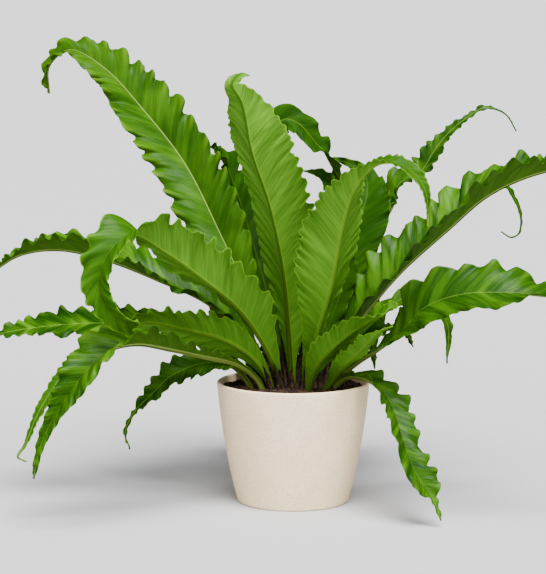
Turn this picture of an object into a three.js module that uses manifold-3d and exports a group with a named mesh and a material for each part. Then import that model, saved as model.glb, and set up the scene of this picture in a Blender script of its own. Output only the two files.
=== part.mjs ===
// A potted fern: long strap-shaped fronds with waved margins, in a plain tapered pot.
// Millimetres, +Z up. The origin is the centre of the pot's foot, on the surface it stands on.
// The viewer stands on the -Y side, with +X to the right.
import * as THREE from "three";
import { mergeVertices } from "three/addons/utils/BufferGeometryUtils.js";
import Module from "manifold-3d";

const wasm = await Module();
wasm.setup();

// Pot
const POT_HEIGHT = 119;
const RIM_RADIUS = 75;
const FOOT_RADIUS = 55.5;
const FOOT_ROUNDING = 2.5;
const FOOT_FLAT_RADIUS = 53.5;
const WALL = 3.4;
const FLOOR = 5;
const WALL_BULGE = { radius: 69.5, height: 55 };
const INNER_HEIGHTS = [90, 60, 30];
const POT_SIDES = 36;
const WALL_STEPS = 6;
const LIP_STEPS = 4;

// Soil and crown
const SOIL_TOP = 112;
const SOIL_RELIEF = 1.2;
const SOIL_LUMPS = { x: 0.21, y: 0.26, slant: 0.37 };
const SOIL_RINGS = 4;
const CROWN = { x: 3, y: 11, halfLength: 53, halfDepth: 38, bottom: 98, brow: 111, top: 116 };
const CROWN_SIDES = 24;
const CROWN_RINGS = [0.85, 0.6, 0.3];
const CROWN_TAPER = 0.8;
const GAP = 0.35;

// Blades. A half turns flatter from the midrib to its margin by FOLD_LOSS, and its veins and waves
// slant towards the tip. The waves of the two sides are out of step and of uneven height.
const STALK_HALF_WIDTH = 3.6;
const STALK_THICKNESS = 4;
const STALK_LENGTH = 24;
const STALK_BLEND = 96;
const STALK_ROUNDING = 0.7;
const BLADE_THICKNESS = 1.2;
const MIDRIB_DEPTH = 2.2;
const TIP_HALF_WIDTH = 0.9;
const BASE_TAPER = 1.4;
const FOLD_AT_MIDRIB = 1.1;
const FOLD_LOSS = 0.35;
const VEIN_SLANT = 0.55;
const SIDE_STAGGER = 0.3;
const WAVE_START = 0.1;
const WAVE_SHORTENING = 1.12;
const WAVE_GATHER = 2.2;
const WAVE_SLIMMING = 0.7;
const WAVE_UNEVENNESS = 0.25;
const UNEVEN_PITCH = 2.4;
const RUFFLE = 0.04;
const COLUMNS = [-1, -0.45, 0, 0.45, 1];

// Each frond grows from its root on the crown. path is its midrib from the stalk's foot to the tip.
// heading is the compass bearing, 0 to the right and 90 to the back, at the stalk and at the tip.
// roll turns the blade about its midrib, in degrees, at even steps from the stalk to the tip.
// fold is the angle that each half of the blade rises from the midrib. waves is how many there are.
// swell is the height of a wave, tail is the share of the length that is drawn out to a thread,
// full is where the blade is at its full width and shoulder is where it starts to narrow. tip is
// the share of the width that is left where the tail starts.
const FRONDS = {
  frond_tall_left: {
    path: [[-13, 13, 104], [-21, 21, 135], [-48, 50, 205], [-75, 80, 260], [-110, 115, 325],
      [-156, 145, 381], [-196, 165, 422], [-234, 180, 441], [-256, 185, 424], [-257, 190, 395]],
    heading: [143, 150], roll: [-10, -52, -56, -38, -40], fold: 33,
    width: 70, waves: 14, swell: 5, tail: 0.03, full: 0.39, shoulder: 0.6, tip: 0.3,
  },
  frond_front_upright: {
    path: [[0, -9, 104], [-2, -8, 129], [-5, -18, 173], [-10, -32, 228], [-24, -56, 298],
      [-40, -74, 348], [-49, -84, 394], [-58, -86, 412], [-50, -80, 421], [-42, -74, 419]],
    heading: [-95, -105], roll: [-20, -20, -24, -24, 20], fold: 36,
    width: 80, waves: 12, swell: 3, tail: 0.03, full: 0.39, shoulder: 0.67, tip: 0.13,
  },
  frond_front_arching: {
    path: [[10, -6, 104], [13, -14, 130], [23, -35, 170], [36, -58, 221], [46, -80, 281],
      [57, -94, 316], [78, -106, 339], [102, -116, 336], [118, -124, 318], [122, -125, 282]],
    heading: [-65, -25], roll: [3, 6, 11, 1, -8, -4, 10, 40, 20], fold: 32,
    width: 79, waves: 14, swell: 3.5, tail: 0.18, full: 0.38, shoulder: 0.44, tip: 0.22,
  },
  frond_left_folded: {
    path: [[-10, -6, 104], [-17, -14, 130], [-29, -26, 158], [-52, -50, 195], [-82, -80, 225],
      [-120, -110, 257], [-150, -130, 275], [-170, -142, 258], [-178, -142, 227], [-163, -135, 200],
      [-143, -120, 191]],
    heading: [-140, -120], roll: [10, 8, 8, 12, 24, 28, 18, -8, -8, -30, -47], fold: 42,
    width: 67, waves: 14, swell: 4, tail: 0.04, full: 0.28, shoulder: 0.48, tip: 0.32,
  },
  frond_left_reaching: {
    path: [[-25, 12, 104], [-31, 10, 132], [-50, 6, 165], [-85, 8, 195], [-135, 18, 217],
      [-180, 24, 234], [-230, 28, 245], [-270, 28, 240], [-300, 24, 222]],
    heading: [176, 178], roll: [0, -4, -10, -20, -22, -16, -4, 4, 5, 4, 0], fold: 40,
    width: 64, waves: 12, swell: 4.5, tail: 0.04, full: 0.34, shoulder: 0.7, tip: 0.25,
  },
  frond_left_low: {
    path: [[-19, -8, 104], [-26, -12, 124], [-39, -20, 144], [-66, -36, 164], [-107, -54, 178],
      [-143, -67, 186], [-175, -75, 174], [-210, -82, 148], [-234, -88, 115], [-244, -90, 96],
      [-254, -90, 72], [-261, -90, 61], [-253, -88, 56]],
    heading: [-150, -170], roll: [40, 47, 25, -42, -52], fold: 13,
    width: 48, waves: 12, swell: 3.5, tail: 0.2, full: 0.25, shoulder: 0.3, tip: 0.22,
  },
  frond_left_drooping: {
    path: [[-28, -10, 104], [-35, -18, 122], [-53, -36, 140], [-85, -62, 152], [-115, -84, 162],
      [-148, -108, 171], [-171, -122, 167], [-191, -134, 150], [-214, -138, 120], [-232, -138, 85],
      [-241, -136, 50]],
    heading: [-145, -130], roll: [-10, 3, 3, -29, -29], fold: 40,
    width: 54, waves: 14, swell: 4, tail: 0.04, full: 0.51, shoulder: 0.47, tip: 0.13,
  },
  frond_left_flat: {
    path: [[-35, 9, 104], [-42, 10, 122], [-60, 14, 140], [-88, 17, 158], [-125, 20, 168],
      [-170, 17, 173], [-220, 12, 173], [-270, 6, 168], [-300, 2, 162]],
    heading: [178, 182], roll: [2, 10, -29, -22, -19], fold: 12,
    width: 46, waves: 12, swell: 3.5, tail: 0.04, full: 0.28, shoulder: 0.75, tip: 0.4,
  },
  frond_right_hanging: {
    path: [[37, -6, 104], [45, -12, 119], [57, -24, 127], [76, -42, 124], [92, -62, 106],
      [103, -86, 76], [114, -104, 48], [129, -115, 26], [137, -121, 7]],
    heading: [-50, -45], roll: [-6, -6, 2, 15, 8], fold: 36,
    width: 32, waves: 9, swell: 3, tail: 0.09, full: 0.28, shoulder: 0.8, tip: 0.3,
  },
  frond_left_hanging: {
    path: [[-38, 0, 104], [-46, -2, 120], [-59, -6, 134], [-76, -14, 138], [-89, -22, 139],
      [-106, -32, 135], [-121, -42, 128], [-135, -50, 115], [-145, -56, 106], [-153, -60, 97],
      [-159, -62, 86], [-161, -62, 75], [-157, -61, 63]],
    heading: [-152, -150], roll: [0, -15, -32, -32, -25, -10, 0], fold: 16,
    width: 32, waves: 8, swell: 3, tail: 0.1, full: 0.24, shoulder: 0.42, tip: 0.16,
  },
  frond_right_broad: {
    path: [[38, 13, 104], [42, 13, 130], [53, 13, 158], [79, 15, 193], [108, 18, 226], [152, 23, 265],
      [191, 27, 298], [228, 30, 316], [268, 31, 327], [300, 32, 334]],
    heading: [5, 4], roll: [-15, 12, 22, 15, 6, -2, -5], fold: 52,
    width: 68, waves: 12, swell: 4.5, tail: 0.04, full: 0.28, shoulder: 0.72, tip: 0.13,
  },
  frond_right_hooked: {
    path: [[37, 27, 104], [44, 36, 130], [64, 60, 170], [108, 91, 225], [160, 110, 273],
      [201, 119, 308], [220, 122, 302], [228, 123, 291], [235, 123, 276], [237, 123, 263],
      [234, 122, 252], [226, 120, 249], [216, 118, 255]],
    heading: [30, 10], roll: [0, 10, 10, 30, 50, 45, 40], fold: 18,
    width: 30, waves: 7, swell: 0.8, tail: 0.3, full: 0.3, shoulder: 0.4, tip: 0.5,
  },
  frond_right_slender: {
    path: [[29, 21, 104], [36, 38, 132], [52, 78, 170], [70, 114, 212], [88, 150, 251], [107, 186, 275],
      [116, 197, 299], [139, 202, 312], [153, 206, 333], [167, 208, 351], [186, 210, 367],
      [207, 212, 379], [229, 214, 373], [242, 216, 354]],
    heading: [38, 20], roll: [0, -3, -6, -9, -14, -22, -28, -12, 12, 25, 30, 28, 10], fold: 24,
    width: 46, waves: 12, swell: 3.2, tail: 0.12, full: 0.5, shoulder: 0.55, tip: 0.16,
  },
  frond_back_arch: {
    path: [[1, 22, 104], [-2, 30, 132], [-8, 52, 180], [-17, 78, 250], [-30, 98, 320], [-25, 108, 354],
      [-8, 113, 371], [7, 113, 366], [17, 112, 355], [26, 112, 344], [32, 111, 339], [37, 110, 330],
      [44, 108, 317], [52, 106, 304]],
    heading: [100, 0], roll: [0, 0, 0, 0, 0, 0, 0, 10, 25, 45, 60, 64, 64, 55, -5, -60], fold: 16,
    width: 29, waves: 8, swell: 1.4, tail: 0.05, full: 0.5, shoulder: 0.93, tip: 0.7,
  },
  frond_back_dark: {
    path: [[16, 17, 104], [22, 31, 132], [37, 62, 170], [54, 95, 215], [69, 122, 262], [79, 144, 296],
      [76, 160, 312], [62, 168, 322], [44, 170, 329]],
    heading: [60, 85], roll: [0, 5, 0], fold: 18,
    width: 62, waves: 7, swell: 4, tail: 0.04, full: 0.6, shoulder: 0.62, tip: 0.13,
  },
  frond_back_folded: {
    path: [[9, 31, 104], [10, 46, 135], [11, 76, 180], [10, 98, 239], [40, 106, 285], [40, 114, 298],
      [36, 122, 308], [27, 129, 314], [11, 134, 317]],
    heading: [80, 165], roll: [0, 0, 0, -15, -55], fold: 35,
    width: 40, waves: 7, swell: 1.2, tail: 0.09, full: 0.85, shoulder: 0.72, tip: 0.35,
  },
  frond_back_left: {
    path: [[-9, 26, 104], [-11, 35, 130], [-18, 66, 167], [-33, 102, 218], [-49, 133, 268],
      [-65, 151, 312], [-74, 157, 332], [-86, 158, 341]],
    heading: [120, 125], roll: [0, -10, 40], fold: 16,
    width: 60, waves: 8, swell: 5, tail: 0.03, full: 0.5, shoulder: 0.86, tip: 0.4,
  },
  frond_right_reaching: {
    path: [[43, 5, 104], [49, 2, 124], [62, -5, 137], [81, -24, 153], [103, -48, 174], [126, -66, 201],
      [159, -77, 214], [204, -84, 216], [251, -90, 212], [288, -93, 207]],
    heading: [-30, -12], roll: [-9, -1, 29, 52, 40, 9, 5], fold: 24,
    width: 60, waves: 10, swell: 4.5, tail: 0.06, full: 0.45, shoulder: 0.62, tip: 0.55,
  },
  frond_front_short: {
    path: [[14, -17, 104], [17, -24, 124], [24, -36, 142], [36, -51, 158], [52, -66, 174],
      [70, -79, 188], [86, -88, 200], [97, -85, 206]],
    heading: [-45, -30], roll: [-10, -25, -25, -12, 45], fold: 20,
    width: 38, waves: 5, swell: 3, tail: 0.04, full: 0.36, shoulder: 0.7, tip: 0.4,
  },
  frond_right_short: {
    path: [[25, -12, 104], [39, -22, 124], [44, -34, 134], [49, -46, 142], [57, -62, 152],
      [68, -82, 167], [78, -100, 181], [91, -112, 189]],
    heading: [-38, -25], roll: [-10, -20, -10], fold: 20,
    width: 28, waves: 5, swell: 2.5, tail: 0.05, full: 0.4, shoulder: 0.7, tip: 0.13,
  },
  frond_right_trailing: {
    path: [[31, -3, 104], [38, -10, 130], [54, -22, 156], [84, -26, 189], [113, -24, 205],
      [137, -26, 200], [149, -25, 178], [149, -25, 140]],
    heading: [-5, -15], roll: [0, 20, 40, 60], fold: 18,
    width: 24, waves: 6, swell: 1.5, tail: 0.16, full: 0.4, shoulder: 0.6, tip: 0.4,
  },
  frond_right_inner: {
    path: [[22, 8, 104], [25, 12, 130], [34, 20, 165], [46, 28, 198], [56, 34, 230], [62, 38, 256]],
    heading: [45, 40], roll: [10, 25, 20], fold: 18,
    width: 30, waves: 5, swell: 3, tail: 0.05, full: 0.6, shoulder: 0.7, tip: 0.13,
  },
  frond_rear_centre: {
    path: [[-1, 38, 104], [0, 50, 128], [1, 72, 156], [2, 106, 184], [3, 152, 203], [1, 204, 190],
      [-2, 242, 152], [-3, 257, 118]],
    heading: [90, 92], roll: [0, 6, 0], fold: 18,
    width: 58, waves: 8, swell: 5, tail: 0.06, full: 0.42, shoulder: 0.6, tip: 0.13,
  },
  frond_rear_right: {
    path: [[17, 39, 104], [22, 50, 122], [33, 74, 142], [48, 112, 160], [64, 158, 166], [80, 202, 148],
      [89, 229, 116], [92, 240, 92]],
    heading: [66, 72], roll: [0, -6, 0], fold: 18,
    width: 54, waves: 8, swell: 5, tail: 0.06, full: 0.42, shoulder: 0.6, tip: 0.13,
  },
  frond_rear_left: {
    path: [[-13, 37, 104], [-17, 49, 124], [-24, 75, 144], [-36, 115, 163], [-52, 160, 170],
      [-66, 200, 152], [-76, 226, 118], [-80, 236, 92]],
    heading: [110, 108], roll: [0, 6, 0], fold: 18,
    width: 54, waves: 8, swell: 5, tail: 0.06, full: 0.42, shoulder: 0.6, tip: 0.13,
  },
  frond_rear_right_low: {
    path: [[31, 35, 104], [38, 46, 121], [54, 68, 138], [76, 98, 150], [98, 130, 154], [118, 158, 146],
      [130, 178, 126]],
    heading: [50, 55], roll: [0, 0, 0], fold: 16,
    width: 46, waves: 6, swell: 4, tail: 0.06, full: 0.45, shoulder: 0.62, tip: 0.13,
  },
  frond_rear_left_low: {
    path: [[-24, 27, 104], [-34, 33, 124], [-52, 45, 142], [-82, 63, 156], [-120, 85, 162],
      [-160, 108, 154], [-190, 125, 134]],
    heading: [150, 148], roll: [0, 0, 0], fold: 16,
    width: 46, waves: 6, swell: 4, tail: 0.06, full: 0.45, shoulder: 0.62, tip: 0.13,
  },
};

// Dry stubs of old stalks on the crown: place, height above the crown and lean in degrees.
const STUBS = [
  { x: -5, y: 3, height: 20, lean: 8, bearing: 200 },
  { x: 20, y: -6, height: 17, lean: 12, bearing: -20 },
  { x: 5, y: 5, height: 9, lean: 5, bearing: 90 },
  { x: 28, y: 12, height: 8, lean: 10, bearing: 10 },
];
const STUB_RADIUS = 1.9;
const STUB_TIP_RADIUS = 0.7;
const STUB_SIDES = 5;

const FINISHES = {
  pot: { color: 0xe6e0d3, roughness: 0.62, metalness: 0 },
  soil: { color: 0x3a2618, roughness: 0.95, metalness: 0 },
  crown: { color: 0x5a3d24, roughness: 0.85, metalness: 0 },
  frond: { color: 0x4c9a1c, roughness: 0.4, metalness: 0 },
};

// A closed solid of a geometry whose shared vertices are merged.
function solidOf(geometry) {
  const bare = geometry.index ? geometry.toNonIndexed() : geometry.clone();
  bare.deleteAttribute("normal");
  bare.deleteAttribute("uv");
  const merged = mergeVertices(bare, 1e-4);
  const index = [];
  for (let i = 0; i < merged.index.count; i += 3) {
    const [a, b, c] = [0, 1, 2].map((k) => merged.index.getX(i + k));
    if (a !== b && b !== c && c !== a) index.push(a, b, c);
  }
  return new wasm.Manifold(
    new wasm.Mesh({
      numProp: 3,
      vertProperties: new Float32Array(merged.attributes.position.array),
      triVerts: new Uint32Array(index),
    }),
  );
}

// The geometry of a solid.
function geometryOf(solid) {
  const mesh = solid.getMesh();
  const geometry = new THREE.BufferGeometry();
  geometry.setAttribute("position", new THREE.BufferAttribute(mesh.vertProperties, 3));
  geometry.setIndex(new THREE.BufferAttribute(mesh.triVerts, 1));
  geometry.computeVertexNormals();
  return geometry;
}

// A turned body that stands on +Z, from a profile of radii and heights.
function turned(profile, sides) {
  const points = profile.map(([radius, height]) => new THREE.Vector2(radius, height));
  return new THREE.LatheGeometry(points, sides).rotateX(Math.PI / 2);
}

// The wall's outer radius and height at share t of the way up.
function wallPoint(t) {
  const curve = new THREE.QuadraticBezierCurve(
    new THREE.Vector2(FOOT_RADIUS, FOOT_ROUNDING),
    new THREE.Vector2(WALL_BULGE.radius, WALL_BULGE.height),
    new THREE.Vector2(RIM_RADIUS, POT_HEIGHT - WALL / 2),
  );
  return curve.getPoint(t);
}

// The pot's inner radius at a height, from the wall's curve.
function innerRadius(height) {
  let low = 0;
  let high = 1;
  for (let i = 0; i < 30; i++) {
    const middle = (low + high) / 2;
    if (wallPoint(middle).y < height) low = middle;
    else high = middle;
  }
  return wallPoint(low).x - WALL;
}

function potGeometry() {
  const profile = [[0, 0], [FOOT_FLAT_RADIUS, 0]];
  for (let i = 0; i <= WALL_STEPS; i++) {
    const p = wallPoint(i / WALL_STEPS);
    profile.push([p.x, p.y]);
  }
  for (let i = 1; i < LIP_STEPS; i++) {
    const angle = (Math.PI * i) / LIP_STEPS;
    profile.push([
      RIM_RADIUS - WALL / 2 + (WALL / 2) * Math.cos(angle),
      POT_HEIGHT - WALL / 2 + (WALL / 2) * Math.sin(angle),
    ]);
  }
  for (const height of [POT_HEIGHT - WALL / 2, ...INNER_HEIGHTS, FLOOR]) {
    profile.push([innerRadius(height), height]);
  }
  profile.push([0, FLOOR]);
  return turned(profile, POT_SIDES);
}

// The height of the soil's uneven top at a place.
function soilHeight(x, y) {
  const lumps = Math.sin(x * SOIL_LUMPS.x) * Math.cos(y * SOIL_LUMPS.y);
  return SOIL_TOP + (SOIL_RELIEF / 2) * (lumps + Math.sin((x - y) * SOIL_LUMPS.slant));
}

function soilBlank() {
  const bottom = FLOOR + GAP;
  const edge = innerRadius(SOIL_TOP) - GAP;
  const profile = [[0, bottom]];
  for (const height of [bottom, ...INNER_HEIGHTS.toReversed()]) {
    profile.push([innerRadius(height) - GAP, height]);
  }
  for (let i = SOIL_RINGS; i >= 0; i--) profile.push([(edge * i) / SOIL_RINGS, SOIL_TOP]);
  const geometry = turned(profile, POT_SIDES);
  const places = geometry.attributes.position;
  for (let i = 0; i < places.count; i++) {
    const [x, y] = [places.getX(i), places.getY(i)];
    const onTop = places.getZ(i) > SOIL_TOP - 1 && Math.hypot(x, y) < edge - 1;
    if (onTop) places.setZ(i, soilHeight(x, y));
  }
  return solidOf(geometry);
}

// The crown's low mound, larger all round by grow.
function crownBlank(grow) {
  const rise = CROWN.top - CROWN.brow;
  const profile = [[0, CROWN.bottom - grow], [CROWN_TAPER, CROWN.bottom - grow], [1, CROWN.brow]];
  for (const share of CROWN_RINGS) {
    profile.push([share, CROWN.brow + grow + rise * (1 - share * share)]);
  }
  profile.push([0, CROWN.top + grow]);
  return solidOf(
    turned(profile, CROWN_SIDES)
      .scale(CROWN.halfLength + grow, CROWN.halfDepth + grow, 1)
      .translate(CROWN.x, CROWN.y, 0),
  );
}

function stub({ x, y, height, lean, bearing }) {
  const length = height + CROWN.top - CROWN.brow;
  const geometry = new THREE.CylinderGeometry(STUB_TIP_RADIUS, STUB_RADIUS, length, STUB_SIDES)
    .rotateX(Math.PI / 2)
    .translate(0, 0, length / 2)
    .rotateY(THREE.MathUtils.degToRad(lean))
    .rotateZ(THREE.MathUtils.degToRad(bearing))
    .translate(x, y, CROWN.brow);
  return solidOf(geometry);
}

// A smooth step from 0 to 1 as t goes from 0 to 1.
const ease = (t) => THREE.MathUtils.smoothstep(t, 0, 1);

// One frond: a blade with two waved halves on a midrib that runs along its path.
class Frond {
  constructor(spec) {
    Object.assign(this, spec);
    const points = this.path.map((p) => new THREE.Vector3(...p));
    this.curve = new THREE.CatmullRomCurve3(points, false, "centripetal");
    this.length = this.curve.getLength();
  }

  // The blade's half width at share u of its length.
  halfWidth(u) {
    const tailStart = 1 - this.tail;
    const rise = ease(u / this.full) ** BASE_TAPER;
    const body = 1 - (1 - this.tip) * ease((u - this.shoulder) / (tailStart - this.shoulder));
    const thread = Math.min(1, (1 - u) / this.tail);
    const blade = (this.width / 2 - STALK_HALF_WIDTH) * rise;
    return Math.max(TIP_HALF_WIDTH, (STALK_HALF_WIDTH + blade) * body * thread);
  }

  // The wave's phase in half turns at share u: a crest or a trough lies half way between numbers.
  phase(u) {
    const along = Math.max(0, (u - WAVE_START) / (1 - WAVE_START));
    return 2 * this.waves * along ** WAVE_SHORTENING;
  }

  // The shares of the length where the rows of points lie: the stalk's, each crest and trough, and the tip.
  rows() {
    const shares = [0, STALK_LENGTH / 2 / this.length, STALK_LENGTH / this.length];
    for (let k = 0; k < 2 * this.waves; k++) {
      const along = ((k + 0.5) / (2 * this.waves)) ** (1 / WAVE_SHORTENING);
      const share = WAVE_START + (1 - WAVE_START) * along;
      if (share > shares[2] + 0.01) shares.push(share);
    }
    return [...shares, 1];
  }

  // The midrib's place, the blade's direction across and its upper normal at share a.
  frame(a) {
    const place = this.curve.getPointAt(a);
    const along = this.curve.getTangentAt(a);
    const bearing = THREE.MathUtils.degToRad(THREE.MathUtils.lerp(...this.heading, a));
    const across = new THREE.Vector3(-Math.sin(bearing), Math.cos(bearing), 0);
    across.addScaledVector(along, -across.dot(along)).normalize();
    const last = this.roll.length - 1;
    const step = Math.min(Math.floor(a * last), last - 1);
    const roll = THREE.MathUtils.lerp(this.roll[step], this.roll[step + 1], ease(a * last - step));
    across.applyAxisAngle(along, THREE.MathUtils.degToRad(roll));
    return { place, along, across, up: new THREE.Vector3().crossVectors(along, across) };
  }

  // A point half way through the blade: u along, v across from -1 to 1.
  point(u, v) {
    const half = this.halfWidth(u);
    const side = Math.abs(v);
    const other = v > 0 ? 1 : 0;
    const stagger = ((other * SIDE_STAGGER * side) / this.waves) * ease(u / WAVE_START) * (1 - u);
    const a = Math.min(1, u + (VEIN_SLANT * side * half) / this.length + stagger);
    const { place, across, up } = this.frame(a);
    const fold = THREE.MathUtils.degToRad(this.fold * (FOLD_AT_MIDRIB - FOLD_LOSS * side));
    const phase = this.phase(u);
    const crest = u > WAVE_START ? Math.sin(Math.PI * (phase + other)) : 0;
    const uneven = 1 + WAVE_UNEVENNESS * Math.sin(UNEVEN_PITCH * phase + this.width + 2 * other);
    const slim = Math.min(1, half / (this.width / 2)) ** WAVE_SLIMMING;
    const swell = this.swell * uneven * slim * side ** WAVE_GATHER * crest;
    const reach = half * side * Math.cos(fold) * (1 + RUFFLE * crest * side);
    return place
      .addScaledVector(across, Math.sign(v) * reach)
      .addScaledVector(up, half * side * Math.sin(fold) + swell);
  }

  // How far the upper and the lower face lie from the middle of the blade.
  depths(u, v) {
    const side = Math.abs(v);
    const stalk = (1 - ease((u * this.length) / STALK_BLEND)) * (1 - STALK_ROUNDING * side);
    const face = BLADE_THICKNESS / 2 + (stalk * (STALK_THICKNESS - BLADE_THICKNESS)) / 2;
    const rib = v === 0 ? MIDRIB_DEPTH * (1 - u) : 0;
    return { upper: face, lower: face + rib };
  }

  // The closed blade on the given rows, larger all round by grow.
  geometry(rows = this.rows(), grow = 0) {
    const middle = rows.map((u) => COLUMNS.map((v) => this.point(u, v)));
    const wide = COLUMNS.length;
    const vertices = [[], []];
    rows.forEach((u, i) => {
      COLUMNS.forEach((v, j) => {
        const along = new THREE.Vector3().subVectors(
          middle[Math.min(i + 1, rows.length - 1)][j],
          middle[Math.max(i - 1, 0)][j],
        );
        const across = new THREE.Vector3().subVectors(
          middle[i][Math.min(j + 1, wide - 1)],
          middle[i][Math.max(j - 1, 0)],
        ).normalize();
        const normal = new THREE.Vector3().crossVectors(along, across).normalize();
        const { upper, lower } = this.depths(u, v);
        const place = middle[i][j].clone().addScaledVector(across, Math.sign(v) * grow);
        if (i === 0) place.addScaledVector(along.normalize(), -grow);
        vertices[0].push(place.clone().addScaledVector(normal, upper + grow));
        vertices[1].push(place.clone().addScaledVector(normal, -lower - grow));
      });
    });
    const count = vertices[0].length;
    const index = [];
    const quad = (a, b, c, d) => index.push(a, b, c, a, c, d);
    for (const [start, flip] of [[0, false], [count, true]]) {
      for (let i = 0; i + 1 < rows.length; i++) {
        for (let j = 0; j + 1 < wide; j++) {
          const corners = [i * wide + j, (i + 1) * wide + j, (i + 1) * wide + j + 1, i * wide + j + 1];
          const [a, b, c, d] = corners.map((k) => k + start);
          if (flip) index.push(a, c, b, a, d, c);
          else index.push(a, b, c, a, c, d);
        }
      }
    }
    const last = (rows.length - 1) * wide;
    for (let j = 0; j + 1 < wide; j++) {
      quad(j, j + 1, count + j + 1, count + j);
      quad(last + j + 1, last + j, count + last + j, count + last + j + 1);
    }
    for (let i = 0; i + 1 < rows.length; i++) {
      const [near, far] = [i * wide, (i + 1) * wide];
      quad(far, near, count + near, count + far);
      quad(near + wide - 1, far + wide - 1, count + far + wide - 1, count + near + wide - 1);
    }
    const geometry = new THREE.BufferGeometry();
    const places = [...vertices[0], ...vertices[1]].flatMap((p) => p.toArray());
    geometry.setAttribute("position", new THREE.Float32BufferAttribute(places, 3));
    geometry.setIndex(index);
    geometry.computeVertexNormals();
    return geometry;
  }

  // The hole that the stalk stands in.
  hole() {
    return solidOf(this.geometry(this.rows().slice(0, 3), GAP));
  }
}

const fern = new THREE.Group();
fern.name = "potted_fern";

function addMesh(name, geometry, finish) {
  const mesh = new THREE.Mesh(geometry, new THREE.MeshStandardMaterial(FINISHES[finish]));
  mesh.name = name;
  fern.add(mesh);
}

const fronds = Object.entries(FRONDS).map(([name, spec]) => [name, new Frond(spec)]);

let crown = crownBlank(0);
for (const place of STUBS) crown = crown.add(stub(place));
let soil = soilBlank().subtract(crownBlank(GAP));
for (const [, frond] of fronds) {
  crown = crown.subtract(frond.hole());
  soil = soil.subtract(frond.hole());
}

addMesh("pot", geometryOf(solidOf(potGeometry())), "pot");
addMesh("soil", geometryOf(soil), "soil");
addMesh("crown", geometryOf(crown), "crown");
for (const [name, frond] of fronds) addMesh(name, frond.geometry(), "frond");

export default fern;
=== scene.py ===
"""A potted fern: long waved fronds on a brown crown, in dark soil, in a speckled cream pot.

Lengths are in millimetres in the tables and classes, and in metres in Blender. The origin is the
centre of the pot's foot, +Z is up and the viewer of the photograph stands on the -Y side.
Bearings are in degrees, 0 to the right and 90 to the back.
"""
import logging
import math
from dataclasses import dataclass
from enum import Enum

import bpy
import numpy as np
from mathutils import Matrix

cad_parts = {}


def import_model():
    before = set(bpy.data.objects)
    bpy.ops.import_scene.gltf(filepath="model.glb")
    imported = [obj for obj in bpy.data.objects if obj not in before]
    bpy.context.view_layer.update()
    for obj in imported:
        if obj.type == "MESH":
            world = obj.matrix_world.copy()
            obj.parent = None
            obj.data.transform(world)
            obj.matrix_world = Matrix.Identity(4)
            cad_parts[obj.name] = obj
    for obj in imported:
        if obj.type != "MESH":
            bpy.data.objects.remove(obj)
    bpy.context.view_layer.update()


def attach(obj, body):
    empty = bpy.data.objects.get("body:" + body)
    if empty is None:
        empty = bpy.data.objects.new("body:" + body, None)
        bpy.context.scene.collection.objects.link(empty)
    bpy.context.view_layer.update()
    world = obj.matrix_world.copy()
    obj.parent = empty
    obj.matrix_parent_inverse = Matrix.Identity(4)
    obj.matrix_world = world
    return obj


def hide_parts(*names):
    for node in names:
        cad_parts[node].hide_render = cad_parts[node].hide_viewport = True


log = logging.getLogger("potted_fern")

MM = 0.001
TINY = 1e-9
BODY = "root"

Colour = tuple[float, float, float]
Array = np.ndarray
Socket = bpy.types.NodeSocket
Feed = Socket | float | Colour


class Leafage(Enum):
    """How old a frond is; SHADED is painted shade: darker greens for the fronds that stand in shade."""

    YOUNG = "young"
    GROWN = "grown"
    # painted shade: darker greens for the fronds that stand in shade inside and at the back
    SHADED = "shaded"


@dataclass(frozen=True)
class FrondShape:
    """The form of one frond.

    Attributes:
        path: the midrib's points from the stalk's foot to the tip
        heading: bearing at the stalk and at the tip
        roll: turn of the blade about its midrib, in degrees, at even steps from stalk to tip
        fold: angle that each half rises from the midrib, in degrees
        width: full width of the blade
        swell: how far a wave of the margin rises and falls
        tail: share of the length that is drawn out to a thread
        full: share of the length where the blade reaches its full width
        shoulder: share of the length where the blade starts to narrow
        tip: share of the width that is left where the tail starts
        pitch: length of one wave of the margin where the blade is broad
        leafage: the frond's finish: young, grown, or SHADED with darker greens as painted shade
        streaks: how strongly light and dark green streaks show on the upper face
        tone: how light the upper face is where no streaks show
        keel: how far the midrib's back takes its own colour
        rib: how far the midrib's groove takes its own colour
        pleats: strength of the fine pleats that run out along the veins
        scallop: depth of the notches between the margin's lobes, about as a share of the pitch
    """

    path: tuple[tuple[float, float, float], ...]
    heading: tuple[float, float]
    roll: tuple[float, ...]
    fold: float
    width: float
    swell: float
    tail: float
    full: float
    shoulder: float
    tip: float
    pitch: float = 18.0
    leafage: Leafage = Leafage.GROWN
    streaks: float = 0.5
    tone: float = 0.4
    keel: float = 1.0
    rib: float = 0.4
    pleats: float = 0.62
    scallop: float = 0.16


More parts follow.
